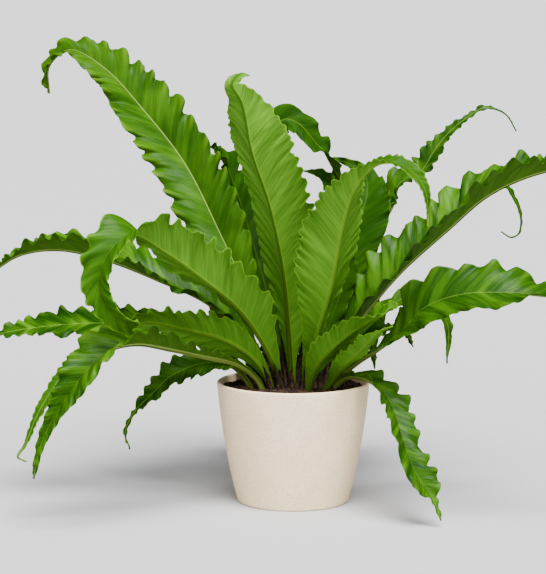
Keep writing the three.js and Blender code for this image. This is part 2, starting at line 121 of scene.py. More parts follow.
FRONDS: dict[str, FrondShape] = {
    "frond_tall_left": FrondShape(
        path=((-13, 13, 104), (-21, 21, 135), (-48, 50, 205), (-75, 80, 260), (-110, 115, 325),
              (-156, 145, 381), (-196, 165, 422), (-234, 180, 441), (-256, 185, 424), (-257, 190, 395)),
        heading=(143, 150), roll=(-10, -52, -56, -38, -40), fold=33,
        width=70, swell=4.6, tail=0.03, full=0.39, shoulder=0.6, tip=0.3,
        pitch=23, streaks=0.22, tone=0.42, rib=0.95, pleats=0.35, scallop=0.26,
    ),
    "frond_front_upright": FrondShape(
        path=((0, -9, 104), (-2, -8, 129), (-5, -18, 173), (-10, -32, 228), (-24, -56, 298),
              (-40, -74, 348), (-49, -84, 394), (-58, -86, 412), (-50, -80, 421), (-42, -74, 419)),
        heading=(-95, -105), roll=(-20, -20, -24, -24, 20), fold=36,
        width=80, swell=2.2, tail=0.03, full=0.39, shoulder=0.67, tip=0.13,
        pitch=13, leafage=Leafage.YOUNG, scallop=0.12,
    ),
    "frond_front_arching": FrondShape(
        path=((10, -6, 104), (13, -14, 130), (23, -35, 170), (36, -58, 221), (46, -80, 281),
              (57, -94, 316), (78, -106, 339), (102, -116, 336), (118, -124, 318), (122, -125, 282)),
        heading=(-65, -25), roll=(3, 6, 11, 1, -8, -4, 10, 40, 20), fold=32,
        width=79, swell=2.2, tail=0.18, full=0.38, shoulder=0.44, tip=0.22,
        pitch=10.5, leafage=Leafage.YOUNG, streaks=0.2, keel=0.25, tone=0.05, pleats=0.46, scallop=0.12,
    ),
    "frond_left_folded": FrondShape(
        path=((-10, -6, 104), (-17, -14, 130), (-29, -26, 158), (-52, -50, 195), (-82, -80, 225),
              (-120, -110, 257), (-150, -130, 275), (-170, -142, 258), (-178, -142, 227),
              (-163, -135, 200), (-143, -120, 191)),
        heading=(-140, -120), roll=(10, 8, 8, 12, 24, 28, 18, -8, -8, -30, -47), fold=42,
        width=67, swell=3.8, tail=0.04, full=0.28, shoulder=0.48, tip=0.32,
        pitch=20, leafage=Leafage.YOUNG, streaks=0.4, keel=0.8, tone=0.3, scallop=0.2,
    ),
    "frond_left_reaching": FrondShape(
        path=((-25, 12, 104), (-31, 10, 132), (-50, 6, 165), (-85, 8, 195), (-135, 18, 217),
              (-180, 24, 234), (-230, 28, 245), (-270, 28, 240), (-300, 24, 222)),
        heading=(176, 178), roll=(0, -4, -10, -20, -22, -16, -4, 4, 5, 4, 0), fold=40,
        width=64, swell=4.2, tail=0.04, full=0.34, shoulder=0.7, tip=0.25,
        streaks=0.7, tone=0.25, rib=0.6,
    ),
    "frond_left_low": FrondShape(
        path=((-19, -8, 104), (-26, -12, 124), (-39, -20, 144), (-66, -36, 164), (-107, -54, 178),
              (-143, -67, 186), (-175, -75, 174), (-210, -82, 148), (-234, -88, 115), (-244, -90, 96),
              (-254, -90, 72), (-261, -90, 61), (-253, -88, 56)),
        heading=(-150, -170), roll=(40, 47, 25, -42, -52), fold=13,
        width=53, swell=2.4, tail=0.2, full=0.25, shoulder=0.3, tip=0.22,
        pitch=12, leafage=Leafage.YOUNG, streaks=0.25, keel=0.4, tone=0.12, scallop=0.05,
    ),
    "frond_left_drooping": FrondShape(
        path=((-28, -10, 104), (-35, -18, 122), (-53, -36, 140), (-85, -62, 152), (-115, -84, 162),
              (-148, -108, 171), (-171, -122, 167), (-191, -134, 150), (-214, -138, 120),
              (-232, -138, 85), (-241, -136, 50)),
        heading=(-145, -130), roll=(-10, 3, 3, -29, -29), fold=40,
        width=55, swell=3.8, tail=0.04, full=0.51, shoulder=0.47, tip=0.13,
        pitch=20, tone=0.3, scallop=0.12,
    ),
    "frond_left_flat": FrondShape(
        path=((-35, 9, 104), (-42, 10, 122), (-60, 14, 140), (-88, 17, 158), (-125, 20, 168),
              (-170, 17, 173), (-220, 12, 173), (-270, 6, 168), (-300, 2, 162)),
        heading=(178, 182), roll=(2, 10, -29, -22, -19), fold=12,
        width=46, swell=3.4, tail=0.04, full=0.28, shoulder=0.75, tip=0.4,
        pitch=17, streaks=0.8, tone=0.25,
    ),
    "frond_right_hanging": FrondShape(
        path=((37, -6, 104), (45, -12, 119), (57, -24, 127), (76, -42, 124), (92, -62, 106),
              (103, -86, 76), (114, -104, 48), (129, -115, 26), (137, -121, 7)),
        heading=(-50, -45), roll=(-6, -6, 2, 15, 8), fold=36,
        width=32, swell=3.2, tail=0.09, full=0.28, shoulder=0.8, tip=0.3,
        pitch=20, streaks=0.7, tone=0.2,
    ),
    "frond_left_hanging": FrondShape(
        path=((-38, 0, 104), (-46, -2, 120), (-59, -6, 134), (-76, -14, 138), (-89, -22, 139),
              (-106, -32, 135), (-121, -42, 128), (-135, -50, 115), (-145, -56, 106), (-153, -60, 97),
              (-159, -62, 86), (-161, -62, 75), (-157, -61, 63)),
        heading=(-152, -150), roll=(0, -15, -32, -32, -25, -10, 0), fold=16,
        width=32, swell=3, tail=0.1, full=0.24, shoulder=0.42, tip=0.16,
        pitch=17, tone=0.25, rib=0.6,
    ),
    "frond_right_broad": FrondShape(
        path=((38, 13, 104), (42, 13, 130), (53, 13, 158), (79, 15, 193), (108, 18, 226),
              (152, 23, 265), (191, 27, 298), (228, 30, 316), (268, 31, 327), (300, 32, 334)),
        heading=(5, 4), roll=(-15, 12, 22, 15, 6, -2, -5), fold=52,
        width=68, swell=4.4, tail=0.04, full=0.28, shoulder=0.72, tip=0.13,
        pitch=24, streaks=0.8, tone=0.01, rib=0.1, scallop=0.2,
    ),
    "frond_right_hooked": FrondShape(
        path=((37, 27, 104), (44, 36, 130), (64, 60, 170), (108, 91, 225), (160, 110, 273),
              (201, 119, 308), (220, 122, 302), (228, 123, 291), (235, 123, 276), (237, 123, 263),
              (234, 122, 252), (226, 120, 249), (216, 118, 255)),
        heading=(30, 10), roll=(0, 10, 10, 30, 50, 45, 40), fold=18,
        width=30, swell=0.8, tail=0.3, full=0.3, shoulder=0.4, tip=0.5,
        pitch=16, leafage=Leafage.SHADED, rib=0.8,
    ),
    "frond_right_slender": FrondShape(
        path=((29, 21, 104), (36, 38, 132), (52, 78, 170), (70, 114, 212), (88, 150, 251),
              (107, 186, 275), (116, 197, 299), (139, 202, 312), (153, 206, 333), (167, 208, 351),
              (186, 210, 367), (207, 212, 379), (229, 214, 373), (242, 216, 354)),
        heading=(38, 20), roll=(0, -3, -6, -9, -14, -22, -28, -12, 12, 25, 30, 28, 10), fold=24,
        width=46, swell=3.2, tail=0.12, full=0.5, shoulder=0.55, tip=0.16,
        pitch=16, streaks=0.4, tone=0.15, rib=0.6,
    ),
    "frond_back_arch": FrondShape(
        path=((1, 22, 104), (-2, 30, 132), (-8, 52, 180), (-17, 78, 250), (-30, 98, 320),
              (-25, 108, 354), (-8, 113, 371), (7, 113, 366), (17, 112, 355), (26, 112, 344),
              (32, 111, 339), (37, 110, 330), (44, 108, 317), (52, 106, 304)),
        heading=(100, 0), roll=(0, 0, 0, 0, 0, 0, 0, 10, 25, 45, 60, 64, 64, 55, -5, -60), fold=16,
        width=29, swell=1.4, tail=0.05, full=0.5, shoulder=0.93, tip=0.7,
        pitch=22, leafage=Leafage.SHADED, rib=0.8,
    ),
    "frond_back_dark": FrondShape(
        path=((16, 17, 104), (22, 31, 132), (37, 62, 170), (54, 95, 215), (69, 122, 262),
              (79, 144, 296), (76, 160, 312), (62, 168, 322), (44, 170, 329)),
        heading=(60, 85), roll=(0, 5, 0), fold=18,
        width=62, swell=4, tail=0.04, full=0.6, shoulder=0.62, tip=0.13,
        pitch=22, leafage=Leafage.SHADED, pleats=0.4, scallop=0.1,
    ),
    "frond_back_folded": FrondShape(
        path=((9, 31, 104), (10, 46, 135), (11, 76, 180), (10, 98, 239), (40, 106, 285), (40, 114, 298),
              (36, 122, 308), (27, 129, 314), (11, 134, 317)),
        heading=(80, 165), roll=(0, 0, 0, -15, -55), fold=35,
        width=40, swell=1.2, tail=0.09, full=0.85, shoulder=0.72, tip=0.35,
        leafage=Leafage.SHADED,
    ),
    "frond_back_left": FrondShape(
        path=((-9, 26, 104), (-11, 35, 130), (-18, 66, 167), (-33, 102, 218), (-49, 133, 268),
              (-65, 151, 312), (-74, 157, 332), (-86, 158, 341)),
        heading=(120, 125), roll=(0, -10, 40), fold=16,
        width=60, swell=5, tail=0.03, full=0.5, shoulder=0.86, tip=0.4,
        leafage=Leafage.SHADED, rib=0.7, scallop=0.1,
    ),
    "frond_right_reaching": FrondShape(
        path=((43, 5, 104), (49, 2, 124), (62, -5, 137), (81, -24, 153), (103, -48, 174),
              (126, -66, 201), (159, -77, 214), (204, -84, 216), (251, -90, 212), (288, -93, 207)),
        heading=(-30, -12), roll=(-9, -1, 29, 52, 40, 9, 5), fold=24,
        width=60, swell=3.3, tail=0.06, full=0.45, shoulder=0.62, tip=0.55,
        pitch=27, streaks=0.55, tone=0.01, rib=0.25, pleats=0.3, scallop=0.22,
    ),
    "frond_front_short": FrondShape(
        path=((14, -17, 104), (17, -24, 124), (24, -36, 142), (36, -51, 158), (52, -66, 174),
              (70, -79, 188), (86, -88, 200), (97, -85, 206)),
        heading=(-45, -30), roll=(-10, -25, -25, -12, 45), fold=20,
        width=38, swell=1.6, tail=0.04, full=0.36, shoulder=0.7, tip=0.4,
        pitch=12, leafage=Leafage.YOUNG, keel=0.4, scallop=0.05,
    ),
    "frond_right_short": FrondShape(
        path=((25, -12, 104), (39, -22, 124), (44, -34, 134), (49, -46, 142), (57, -62, 152),
              (68, -82, 167), (78, -100, 181), (91, -112, 189)),
        heading=(-38, -25), roll=(-10, -20, -10), fold=20,
        width=28, swell=1.5, tail=0.05, full=0.4, shoulder=0.7, tip=0.13,
        pitch=12, leafage=Leafage.YOUNG, keel=0.4, scallop=0.05,
    ),
    "frond_right_trailing": FrondShape(
        path=((31, -3, 104), (38, -10, 130), (54, -22, 156), (84, -26, 189), (113, -24, 205),
              (137, -26, 200), (149, -25, 178), (149, -25, 140)),
        heading=(-5, -15), roll=(0, 20, 40, 60), fold=18,
        width=24, swell=1.0, tail=0.16, full=0.4, shoulder=0.6, tip=0.4,
        pitch=24,
    ),
    "frond_right_inner": FrondShape(
        path=((22, 8, 104), (25, 12, 130), (34, 20, 165), (46, 28, 198), (56, 34, 230), (62, 38, 256)),
        heading=(45, 40), roll=(10, 25, 20), fold=18,
        width=28, swell=1.8, tail=0.05, full=0.6, shoulder=0.7, tip=0.13,
        leafage=Leafage.SHADED, pleats=0.3,
    ),
    "frond_rear_centre": FrondShape(
        path=((-1, 38, 104), (0, 50, 128), (1, 72, 156), (2, 106, 184), (3, 152, 203), (1, 204, 190),
              (-2, 242, 152), (-3, 257, 118)),
        heading=(90, 92), roll=(0, 6, 0), fold=18,
        width=58, swell=4.0, tail=0.06, full=0.42, shoulder=0.6, tip=0.13,
        pitch=20, leafage=Leafage.SHADED, scallop=0.1,
    ),
    "frond_rear_right": FrondShape(
        path=((17, 39, 104), (22, 50, 122), (33, 74, 142), (48, 112, 160), (64, 158, 166),
              (80, 202, 148), (89, 229, 116), (92, 240, 92)),
        heading=(66, 72), roll=(0, -6, 0), fold=18,
        width=54, swell=4.0, tail=0.06, full=0.42, shoulder=0.6, tip=0.13,
        pitch=20, leafage=Leafage.SHADED, scallop=0.1,
    ),
    "frond_rear_left": FrondShape(
        path=((-13, 37, 104), (-17, 49, 124), (-24, 75, 144), (-36, 115, 163), (-52, 160, 170),
              (-66, 200, 152), (-76, 226, 118), (-80, 236, 92)),
        heading=(110, 108), roll=(0, 6, 0), fold=18,
        width=54, swell=4.0, tail=0.06, full=0.42, shoulder=0.6, tip=0.13,
        pitch=20, leafage=Leafage.SHADED, scallop=0.1,
    ),
    "frond_rear_right_low": FrondShape(
        path=((31, 35, 104), (38, 46, 121), (54, 68, 138), (76, 98, 150), (98, 130, 154),
              (118, 158, 146), (130, 178, 126)),
        heading=(50, 55), roll=(0, 0, 0), fold=16,
        width=46, swell=3.2, tail=0.06, full=0.45, shoulder=0.62, tip=0.13,
        pitch=20, leafage=Leafage.SHADED, scallop=0.1,
    ),
    "frond_rear_left_low": FrondShape(
        path=((-24, 27, 104), (-34, 33, 124), (-52, 45, 142), (-82, 63, 156), (-120, 85, 162),
              (-160, 108, 154), (-190, 125, 134)),
        heading=(150, 148), roll=(0, 0, 0), fold=16,
        width=46, swell=3.2, tail=0.06, full=0.45, shoulder=0.62, tip=0.13,
        pitch=20, leafage=Leafage.SHADED, scallop=0.1,
    ),
}


def ease(t: Array) -> Array:
    """A smooth step: three t squared less two t cubed, with t held between 0 and 1."""
    t = np.clip(t, 0.0, 1.0)
    return t * t * (3.0 - 2.0 * t)


def wander(t: Array, seed: int, octaves: int = 4) -> Array:
    """A smooth random curve of about unit height.

    It is a sum of sines, each with half the length and 0.6 of the height of the one before.

    Args:
        t: places on the curve, about one bend to each unit
        seed: seed of the phases
        octaves: number of sines
    Returns:
        the curve's height at each place
    """
    fall = 0.6
    pace = 0.97
    full_height = 1.6
    phases = np.random.default_rng(seed).uniform(0.0, math.tau, octaves)
    total = np.zeros_like(t)
    for k, phase in enumerate(phases):
        total += fall**k * np.sin(2.0**k * t * math.pi * pace + phase)
    return total / full_height


def lumps(x: Array, y: Array, size: float, seed: int, waves: int = 10) -> Array:
    """Smooth random lumps on a plane, of about unit height.

    It is a level cut through a sum of plane waves in space. Their directions are random, and they
    are between 1.3 and 3.1 sizes long.

    Args:
        x: places to the right
        y: places to the back
        size: size of the lumps
        seed: seed of the waves
        waves: number of plane waves
    Returns:
        the height at each place
    """
    slow, fast = 2.0, 5.0
    rng = np.random.default_rng(seed)
    total = np.zeros(np.broadcast(x, y).shape)
    for _ in range(waves):
        way = rng.normal(size=3)
        way *= rng.uniform(slow, fast) / np.linalg.norm(way)
        total += np.sin(way[0] * (x / size) + way[1] * (y / size) + rng.uniform(0.0, math.tau))
    return total / math.sqrt(waves)


def make_object(
    name: str, points: Array, faces: list[Array], values: dict[str, Array] | None = None, smooth: bool = True
) -> bpy.types.Object:
    """Makes a mesh object from whole arrays.

    Args:
        name: name of the object and its mesh
        points: n by 3 places, in millimetres
        faces: arrays of vertex numbers, one row to a face, each array with its own number of corners
        values: a number for each point, by attribute name
        smooth: whether the faces are shaded smooth
    Returns:
        the linked object, at the origin
    """
    mesh = bpy.data.meshes.new(name)
    numbers = np.concatenate([group.ravel() for group in faces]).astype(np.int32)
    corners = np.concatenate([np.full(len(group), group.shape[1]) for group in faces])
    starts = np.concatenate([[0], np.cumsum(corners)[:-1]]).astype(np.int32)
    mesh.vertices.add(len(points))
    mesh.vertices.foreach_set("co", (points * MM).astype(np.float32).ravel())
    mesh.loops.add(len(numbers))
    mesh.loops.foreach_set("vertex_index", numbers)
    mesh.polygons.add(len(starts))
    mesh.polygons.foreach_set("loop_start", starts)
    mesh.polygons.foreach_set("use_smooth", np.full(len(starts), smooth))
    mesh.update(calc_edges=True)
    for label, data in (values or {}).items():
        attribute = mesh.attributes.new(label, "FLOAT", "POINT")
        attribute.data.foreach_set("value", np.asarray(data, dtype=np.float32).ravel())
    mesh.validate()
    piece = bpy.data.objects.new(name, mesh)
    bpy.context.collection.objects.link(piece)
    return piece


def grid_faces(rows: int, columns: int, closed: bool) -> Array:
    """Quads between neighbouring rows of a grid of points.

    Args:
        rows: number of rows
        columns: number of points in a row
        closed: whether the last point of a row joins the first
    Returns:
        the quads as vertex numbers, row by row
    """
    i = np.arange(rows - 1)[:, None]
    j = np.arange(columns if closed else columns - 1)[None, :]
    after = (j + 1) % columns
    corners = [i * columns + j, (i + 1) * columns + j, (i + 1) * columns + after, i * columns + after]
    return np.stack([np.broadcast_to(c, (rows - 1, j.size)) for c in corners], -1).reshape(-1, 4)


def turned(profile: Array, sides: int) -> tuple[Array, list[Array]]:
    """A closed body turned about +Z, with a point at each end of its profile.

    Args:
        profile: n by 2 radii and heights, from the bottom's centre out, up and back to the axis
        sides: number of steps round the axis
    Returns:
        the points, the first and the last of them on the axis, and the faces
    """
    angle = np.linspace(0.0, math.tau, sides, endpoint=False)[None, :]
    radius, height = profile[1:-1, :1], profile[1:-1, 1:]
    rings = np.stack([radius * np.cos(angle), radius * np.sin(angle), height + 0 * angle], -1)
    ends = np.stack([np.zeros(2), np.zeros(2), profile[[0, -1], 1]], -1)
    points = np.vstack([ends[:1], rings.reshape(-1, 3), ends[1:]])
    quads = grid_faces(len(radius), sides, closed=True)[:, ::-1] + 1
    near = np.arange(sides)
    after = (near + 1) % sides
    top = len(points) - 1
    below = np.stack([after + 1, near + 1, 0 * near], -1)
    above = np.stack([near + top - sides, after + top - sides, 0 * near + top], -1)
    return points, [quads, below, above]


class Midrib:
    """The curve that a frond's blade runs along: cubics that join smoothly at its points.

    Attributes:
        measured_places: places at which its length is measured
        tangent_reach: step of the curve's parameter over which its direction is read
    """

    measured_places: int = 241
    tangent_reach: float = 1e-3

    def __init__(self, path: tuple[tuple[float, float, float], ...]) -> None:
        """Measures the curve, so that places on it can be asked for by length.

        Args:
            path: the points that the curve passes through
        """
        given = np.array(path, dtype=float)
        self._points = np.vstack([2 * given[0] - given[1], given, 2 * given[-1] - given[-2]])
        self._spans = len(given) - 1
        self._steps = np.linspace(0.0, 1.0, self.measured_places)
        pieces = np.linalg.norm(np.diff(self._place(self._steps), axis=0), axis=1)
        self._run = np.concatenate([[0.0], np.cumsum(pieces)])
        self.length = float(self._run[-1])

    def _place(self, t: Array) -> Array:
        """The places at a curve parameter, by the cubic of each span.

        Args:
            t: the parameter, from 0 to 1 over even spans
        Returns:
            one place for each parameter
        """
        p = np.clip(t, 0.0, 1.0) * self._spans
        i = np.minimum(p.astype(int), self._spans - 1)
        w = (p - i)[:, None]
        before, start, end, after = (self._points[i + k] for k in range(4))
        d0, d1, d2 = (
            np.sqrt(np.linalg.norm(b - a, axis=1))[:, None]
            for a, b in ((before, start), (start, end), (end, after))
        )
        leave = ((start - before) / d0 - (end - before) / (d0 + d1) + (end - start) / d1) * d1
        arrive = ((end - start) / d1 - (after - start) / (d1 + d2) + (after - end) / d2) * d1
        square = -3 * start + 3 * end - 2 * leave - arrive
        cube = 2 * start - 2 * end + leave + arrive
        return start + leave * w + square * w**2 + cube * w**3

    def at(self, share: Array) -> tuple[Array, Array]:
        """Places and unit tangents at shares of the length.

        Args:
            share: shares of the length, of any shape
        Returns:
            the places and the tangents, with a last axis of 3
        """
        t = np.interp(share.ravel() * self.length, self._run, self._steps)
        ahead = self._place(np.minimum(t + self.tangent_reach, 1.0))
        behind = self._place(np.maximum(t - self.tangent_reach, 0.0))
        along = ahead - behind
        along /= np.linalg.norm(along, axis=1)[:, None]
        return self._place(t).reshape(*share.shape, 3), along.reshape(*share.shape, 3)


@dataclass(frozen=True)
class Drift:
    """A random curve along the margins, with its own run on each half of the blade.

    Attributes:
        spans: waves of the margin to one bend of the curve, on the one half and on the other
        seeds: what each half adds to the frond's seed
    """

    spans: tuple[float, float]
    seeds: tuple[int, int]

    def curve(self, turns: Array, other: Array, seed: int) -> Array:
        """The curve's height, taken from the half that a place lies on.

        Args:
            turns: number of waves from the stalk
            other: 0 on the one half and 1 on the other
            seed: the frond's seed
        Returns:
            the height at each place
        """
        here, there = (wander(turns / span, seed + extra) for span, extra in zip(self.spans, self.seeds))
        return here * (1 - other) + there * other


@dataclass
class Frond:
    """One frond: a stalk and a blade of two waved halves along a midrib.

    Attributes:
        name: the blade's name
        shape: the form of this frond
        seed: seed of its waves
        stalk_half_width: half the stalk's width
        stalk_thickness: the stalk's thickness at its foot
        stalk_rounding: share of its extra thickness that the stalk loses out to its sides
        stalk_blend: length over which the stalk flattens into the blade
        blade_thickness: the blade's thickness beside the midrib
        margin_thickness: its thickness at the margin
        rim_share: how far the rim stands out, as a share of the margin's thickness
        rib_depth: how far the midrib stands out below
        rib_depth_loss: share of that depth that the stalk takes up
        rib_half_width: half the midrib's width
        rib_taper: share of its height that the midrib loses up to the tip
        ridge_height: how far the midrib stands out above
        tip_half_width: least half width of the blade
        base_taper: power that draws out the blade's narrow foot
        fold_at_midrib: how much of the fold the halves have beside the midrib
        fold_loss: how much of it they lose out to the margin
        vein_slant: how far the veins run towards the tip, as a share of the half width
        wave_start: share of the length where the waves set in
        wave_rise: share of the length over which they grow to their full height
        wave_slant: how far a wave lags towards the midrib, as a share of the half width
        short_wave: length of a wave at the narrowest places, as a share of the pitch
        shift: random shift of the waves along the margin
        shift_reach: how far that shift goes, in radians of a wave
        other_half_shift: share of a wave by which the one half runs ahead of the other
        uneven: random differences between the waves
        swell_spread: how much the waves' heights differ
        lobe_spread: how much the lobes' depths differ
        gather: power by which a wave fades from the margin inwards
        broad_height: height of the broad waves of each half, as a share of the swell
        broad_span: waves of the margin to one broad wave
        broad_slant: how far a broad wave leans along the midrib
        broad_gather: power by which it fades from the margin inwards
        broad_seed: what the broad waves add to the frond's seed
        pleat_height: height of the pleats on a frond whose strength of them is 1
        pleat_span: length along the midrib to one pleat
        pleat_slant: how far a pleat leans along the midrib
        pleat_seed: what the pleats add to the frond's seed
        bunching: how far the margin bunches up where a wave is steep
        rim_power: power by which the bunching, the lobes and the thinning keep to the margin
        notch_rounding: keeps the notches between the lobes round
        lobe_middle: the part of a lobe that lies inside the plain margin
        half_columns: steps from the midrib to the margin
        crowding: how far the columns crowd towards the midrib and the margin
        row_step: length of a step along the midrib
        least_rows: least number of steps along the midrib
    """

    name: str
    shape: FrondShape
    seed: int
    stalk_half_width: float = 3.4
    stalk_thickness: float = 3.8
    stalk_rounding: float = 0.75
    stalk_blend: float = 96.0
    blade_thickness: float = 0.75
    margin_thickness: float = 0.4
    rim_share: float = 0.35
    rib_depth: float = 2.4
    rib_depth_loss: float = 0.5
    rib_half_width: float = 1.9
    rib_taper: float = 0.8
    ridge_height: float = 0.55
    tip_half_width: float = 0.6
    base_taper: float = 1.4
    fold_at_midrib: float = 1.1
    fold_loss: float = 0.35
    vein_slant: float = 0.55
    wave_start: float = 0.05
    wave_rise: float = 0.22
    wave_slant: float = 0.4
    short_wave: float = 0.6
    shift: Drift = Drift(spans=(2.7, 2.3), seeds=(0, 50))
    shift_reach: float = 1.5
    other_half_shift: float = 0.42
    uneven: Drift = Drift(spans=(1.6, 1.9), seeds=(9, 77))
    swell_spread: float = 0.5
    lobe_spread: float = 0.8
    gather: float = 3.4
    broad_height: float = 0.8
    broad_span: float = 1.7
    broad_slant: float = 0.3
    broad_gather: float = 1.5
    broad_seed: int = 31
    pleat_height: float = 1.15
    pleat_span: float = 5.5
    pleat_slant: float = 0.4
    pleat_seed: int = 13
    bunching: float = 0.15
    rim_power: int = 3
    notch_rounding: float = 0.02
    lobe_middle: float = 0.6
    half_columns: int = 13
    crowding: float = 0.62
    row_step: float = 1.5
    quick_row_step: float = 4.5
    least_rows: int = 60

    def half_width(self, u: Array) -> Array:
        """The blade's half width.

        It rises smoothly from the stalk's to the full one, falls smoothly from the shoulder to the
        tail, and then evenly to the tip.

        Args:
            u: shares of the length
        Returns:
            the half width at each share
        """
        s = self.shape
        tail_start = 1.0 - s.tail
        rise = ease(u / s.full) ** self.base_taper
        fall = ease((u - s.shoulder) / (tail_start - s.shoulder))
        body = 1.0 - (1.0 - s.tip) * fall
        thread = np.minimum(1.0, (1.0 - u) / s.tail)
        blade = (s.width / 2 - self.stalk_half_width) * rise
        return np.maximum(self.tip_half_width, (self.stalk_half_width + blade) * body * thread)

    def axes(self, share: Array, midrib: Midrib) -> tuple[Array, Array, Array]:
        """The midrib's places with the blade's directions there.

        The direction across is level and square to the heading, made square to the curve, and then
        turned about the curve by the roll.

        Args:
            share: shares of the length
            midrib: the curve
        Returns:
            places, directions across and upper normals
        """
        place, along = midrib.at(share)
        start, end = self.shape.heading
        bearing = np.radians(start + (end - start) * share)
        across = np.stack([-np.sin(bearing), np.cos(bearing), np.zeros_like(bearing)], -1)
        across -= np.sum(across * along, -1, keepdims=True) * along
        across /= np.linalg.norm(across, axis=-1, keepdims=True)
        rolls = np.array(self.shape.roll, dtype=float)
        step = np.clip(share, 0.0, 1.0) * (len(rolls) - 1)
        i = np.minimum(step.astype(int), len(rolls) - 2)
        roll = np.radians(rolls[i] + (rolls[i + 1] - rolls[i]) * ease(step - i))[..., None]
        across = across * np.cos(roll) + np.cross(along, across) * np.sin(roll)
        return place, across, np.cross(along, across)

    def turns(self, u: Array, length: float, places: int = 400) -> tuple[Array, Array]:
        """How many waves the margin has made at share u, and the length of a wave there.

        A wave is as long as the pitch where the blade is broad, and shorter where it is narrow.

        Args:
            u: shares of the length
            length: the midrib's length
            places: how many places the waves are counted at
        Returns:
            the number of waves from the stalk, and the wave's length
        """
        steps = np.linspace(0.0, 1.0, places)
        longer = 2 * (1 - self.short_wave)
        pitch = self.shape.pitch * (self.short_wave + longer * self.half_width(steps) / self.shape.width)
        count = np.concatenate([[0.0], np.cumsum(np.diff(steps) * length / pitch[1:])])
        return np.interp(u, steps, count), np.interp(u, steps, pitch)

    def surface(self, u: Array, v: Array) -> tuple[Array, Array, Array]:
        """The middle of the blade as a function of two parameters.

        A place lies half_width times v across the midrib, raised by the fold and shifted towards
        the tip along the slanted veins. The margin rises and falls as a cosine of the number of
        waves, of uneven height, which fades from the margin inwards as a power of the side. Broad
        waves raise the one half and lower the other, and small pleats run out along the veins.
        Each wave's edge is a round lobe, the size of the sine of half a wave, with a notch between
        two.

        Args:
            u: shares of the length, as a column
            v: places across from -1 to 1, as a row
        Returns:
            the places, the height of the wave from -1 to 1, and the half width
        """
        s = self.shape
        midrib = Midrib(s.path)
        length = midrib.length
        half = np.broadcast_to(self.half_width(u), np.broadcast(u, v).shape)
        side = np.abs(v)
        other = (v > 0).astype(float)
        turns, pitch = self.turns(u, length)
        lag = self.wave_slant * half * (1 - side) / pitch
        phase = math.tau * (turns + lag + self.other_half_shift * other)
        phase = phase + self.shift_reach * self.shift.curve(turns, other, self.seed)
        uneven = self.uneven.curve(turns, other, self.seed)
        grown = ease((u - self.wave_start) / self.wave_rise)
        slim = np.minimum(1.0, 2 * half / s.width) ** 0.5
        swell = s.swell * (1 + self.swell_spread * uneven) * slim * grown
        crest = -np.cos(phase)
        rolling = wander(turns / self.broad_span - self.broad_slant * side, self.seed + self.broad_seed)
        broad = self.broad_height * s.swell * side**self.broad_gather * rolling * slim * grown
        run = u * length / self.pleat_span + self.pleat_slant * v
        folds = wander(run, self.seed + self.pleat_seed, octaves=2)
        pleat = s.pleats * side * self.pleat_height * folds * slim * grown
        lift = swell * side**self.gather * crest + broad * (1 - 2 * other) + pleat
        bunch = self.bunching * swell * side**self.rim_power * np.sin(2 * phase)
        share = np.minimum(1.0, u + (self.vein_slant * side * half + bunch) / length)
        place, across, up = self.axes(np.broadcast_to(share, half.shape), midrib)
        fold = np.radians(s.fold * (self.fold_at_midrib - self.fold_loss * side))
        bulge = np.sqrt(np.sin(phase / 2) ** 2 + self.notch_rounding) - self.lobe_middle
        lobe = s.scallop * pitch * slim**2 * (1 + self.lobe_spread * uneven) * bulge
        reach = half * side * np.cos(fold) + lobe * side**self.rim_power * grown
        rise = half * side * np.sin(fold) + lift
        places = place + across * (np.sign(v) * reach)[..., None] + up * rise[..., None]
        return places, crest * side**2 * grown, half

    def build(self) -> bpy.types.Object:
        """Makes the closed blade: rings of points over the upper face, round the rim and back below.

        The columns follow a blend of even steps and a cosine. The two faces lie half the thickness
        from the blade's middle along its normal, and the midrib adds a round ridge to both.

        Returns:
            the blade
        """
        length = Midrib(self.shape.path).length
        step = self.row_step
        rows = max(self.least_rows, round(length / step))
        u = np.linspace(0.0, 1.0, rows)[:, None]
        t = np.linspace(0.0, 1.0, self.half_columns + 1)
        half_row = self.crowding * 0.5 * (1 - np.cos(math.pi * t)) + (1 - self.crowding) * t
        v = np.concatenate([-half_row[:0:-1], half_row])[None, :]
        middle, crest, half = self.surface(u, v)
        across = np.gradient(middle, axis=1)
        normal = np.cross(np.gradient(middle, axis=0), across)
        normal /= np.maximum(np.linalg.norm(normal, axis=-1, keepdims=True), TINY)
        side = np.abs(v)
        stalk = 1 - ease(u * length / self.stalk_blend)
        thinning = 1 - side**self.rim_power
        blade = self.margin_thickness + (self.blade_thickness - self.margin_thickness) * thinning
        thick = blade + stalk * (self.stalk_thickness - blade) * (1 - self.stalk_rounding * side)
        rib = (1 - (half * side / self.rib_half_width) ** 2).clip(0.0) * (1 - self.rib_taper * u)
        ridge = self.ridge_height * rib * (1 - stalk)
        keel = self.rib_depth * rib * (1 - self.rib_depth_loss * stalk)
        upper = middle + normal * (thick / 2 + ridge)[..., None]
        lower = middle - normal * (thick / 2 + keel)[..., None]
        out = across / np.maximum(np.linalg.norm(across, axis=-1, keepdims=True), TINY)
        rim = self.rim_share * self.margin_thickness
        right = (middle[:, -1] + out[:, -1] * rim)[:, None]
        left = (middle[:, 0] - out[:, 0] * rim)[:, None]
        ring = np.concatenate([upper, right, lower[:, ::-1], left], axis=1)
        return self._mesh(ring, u, v, crest, half, length)

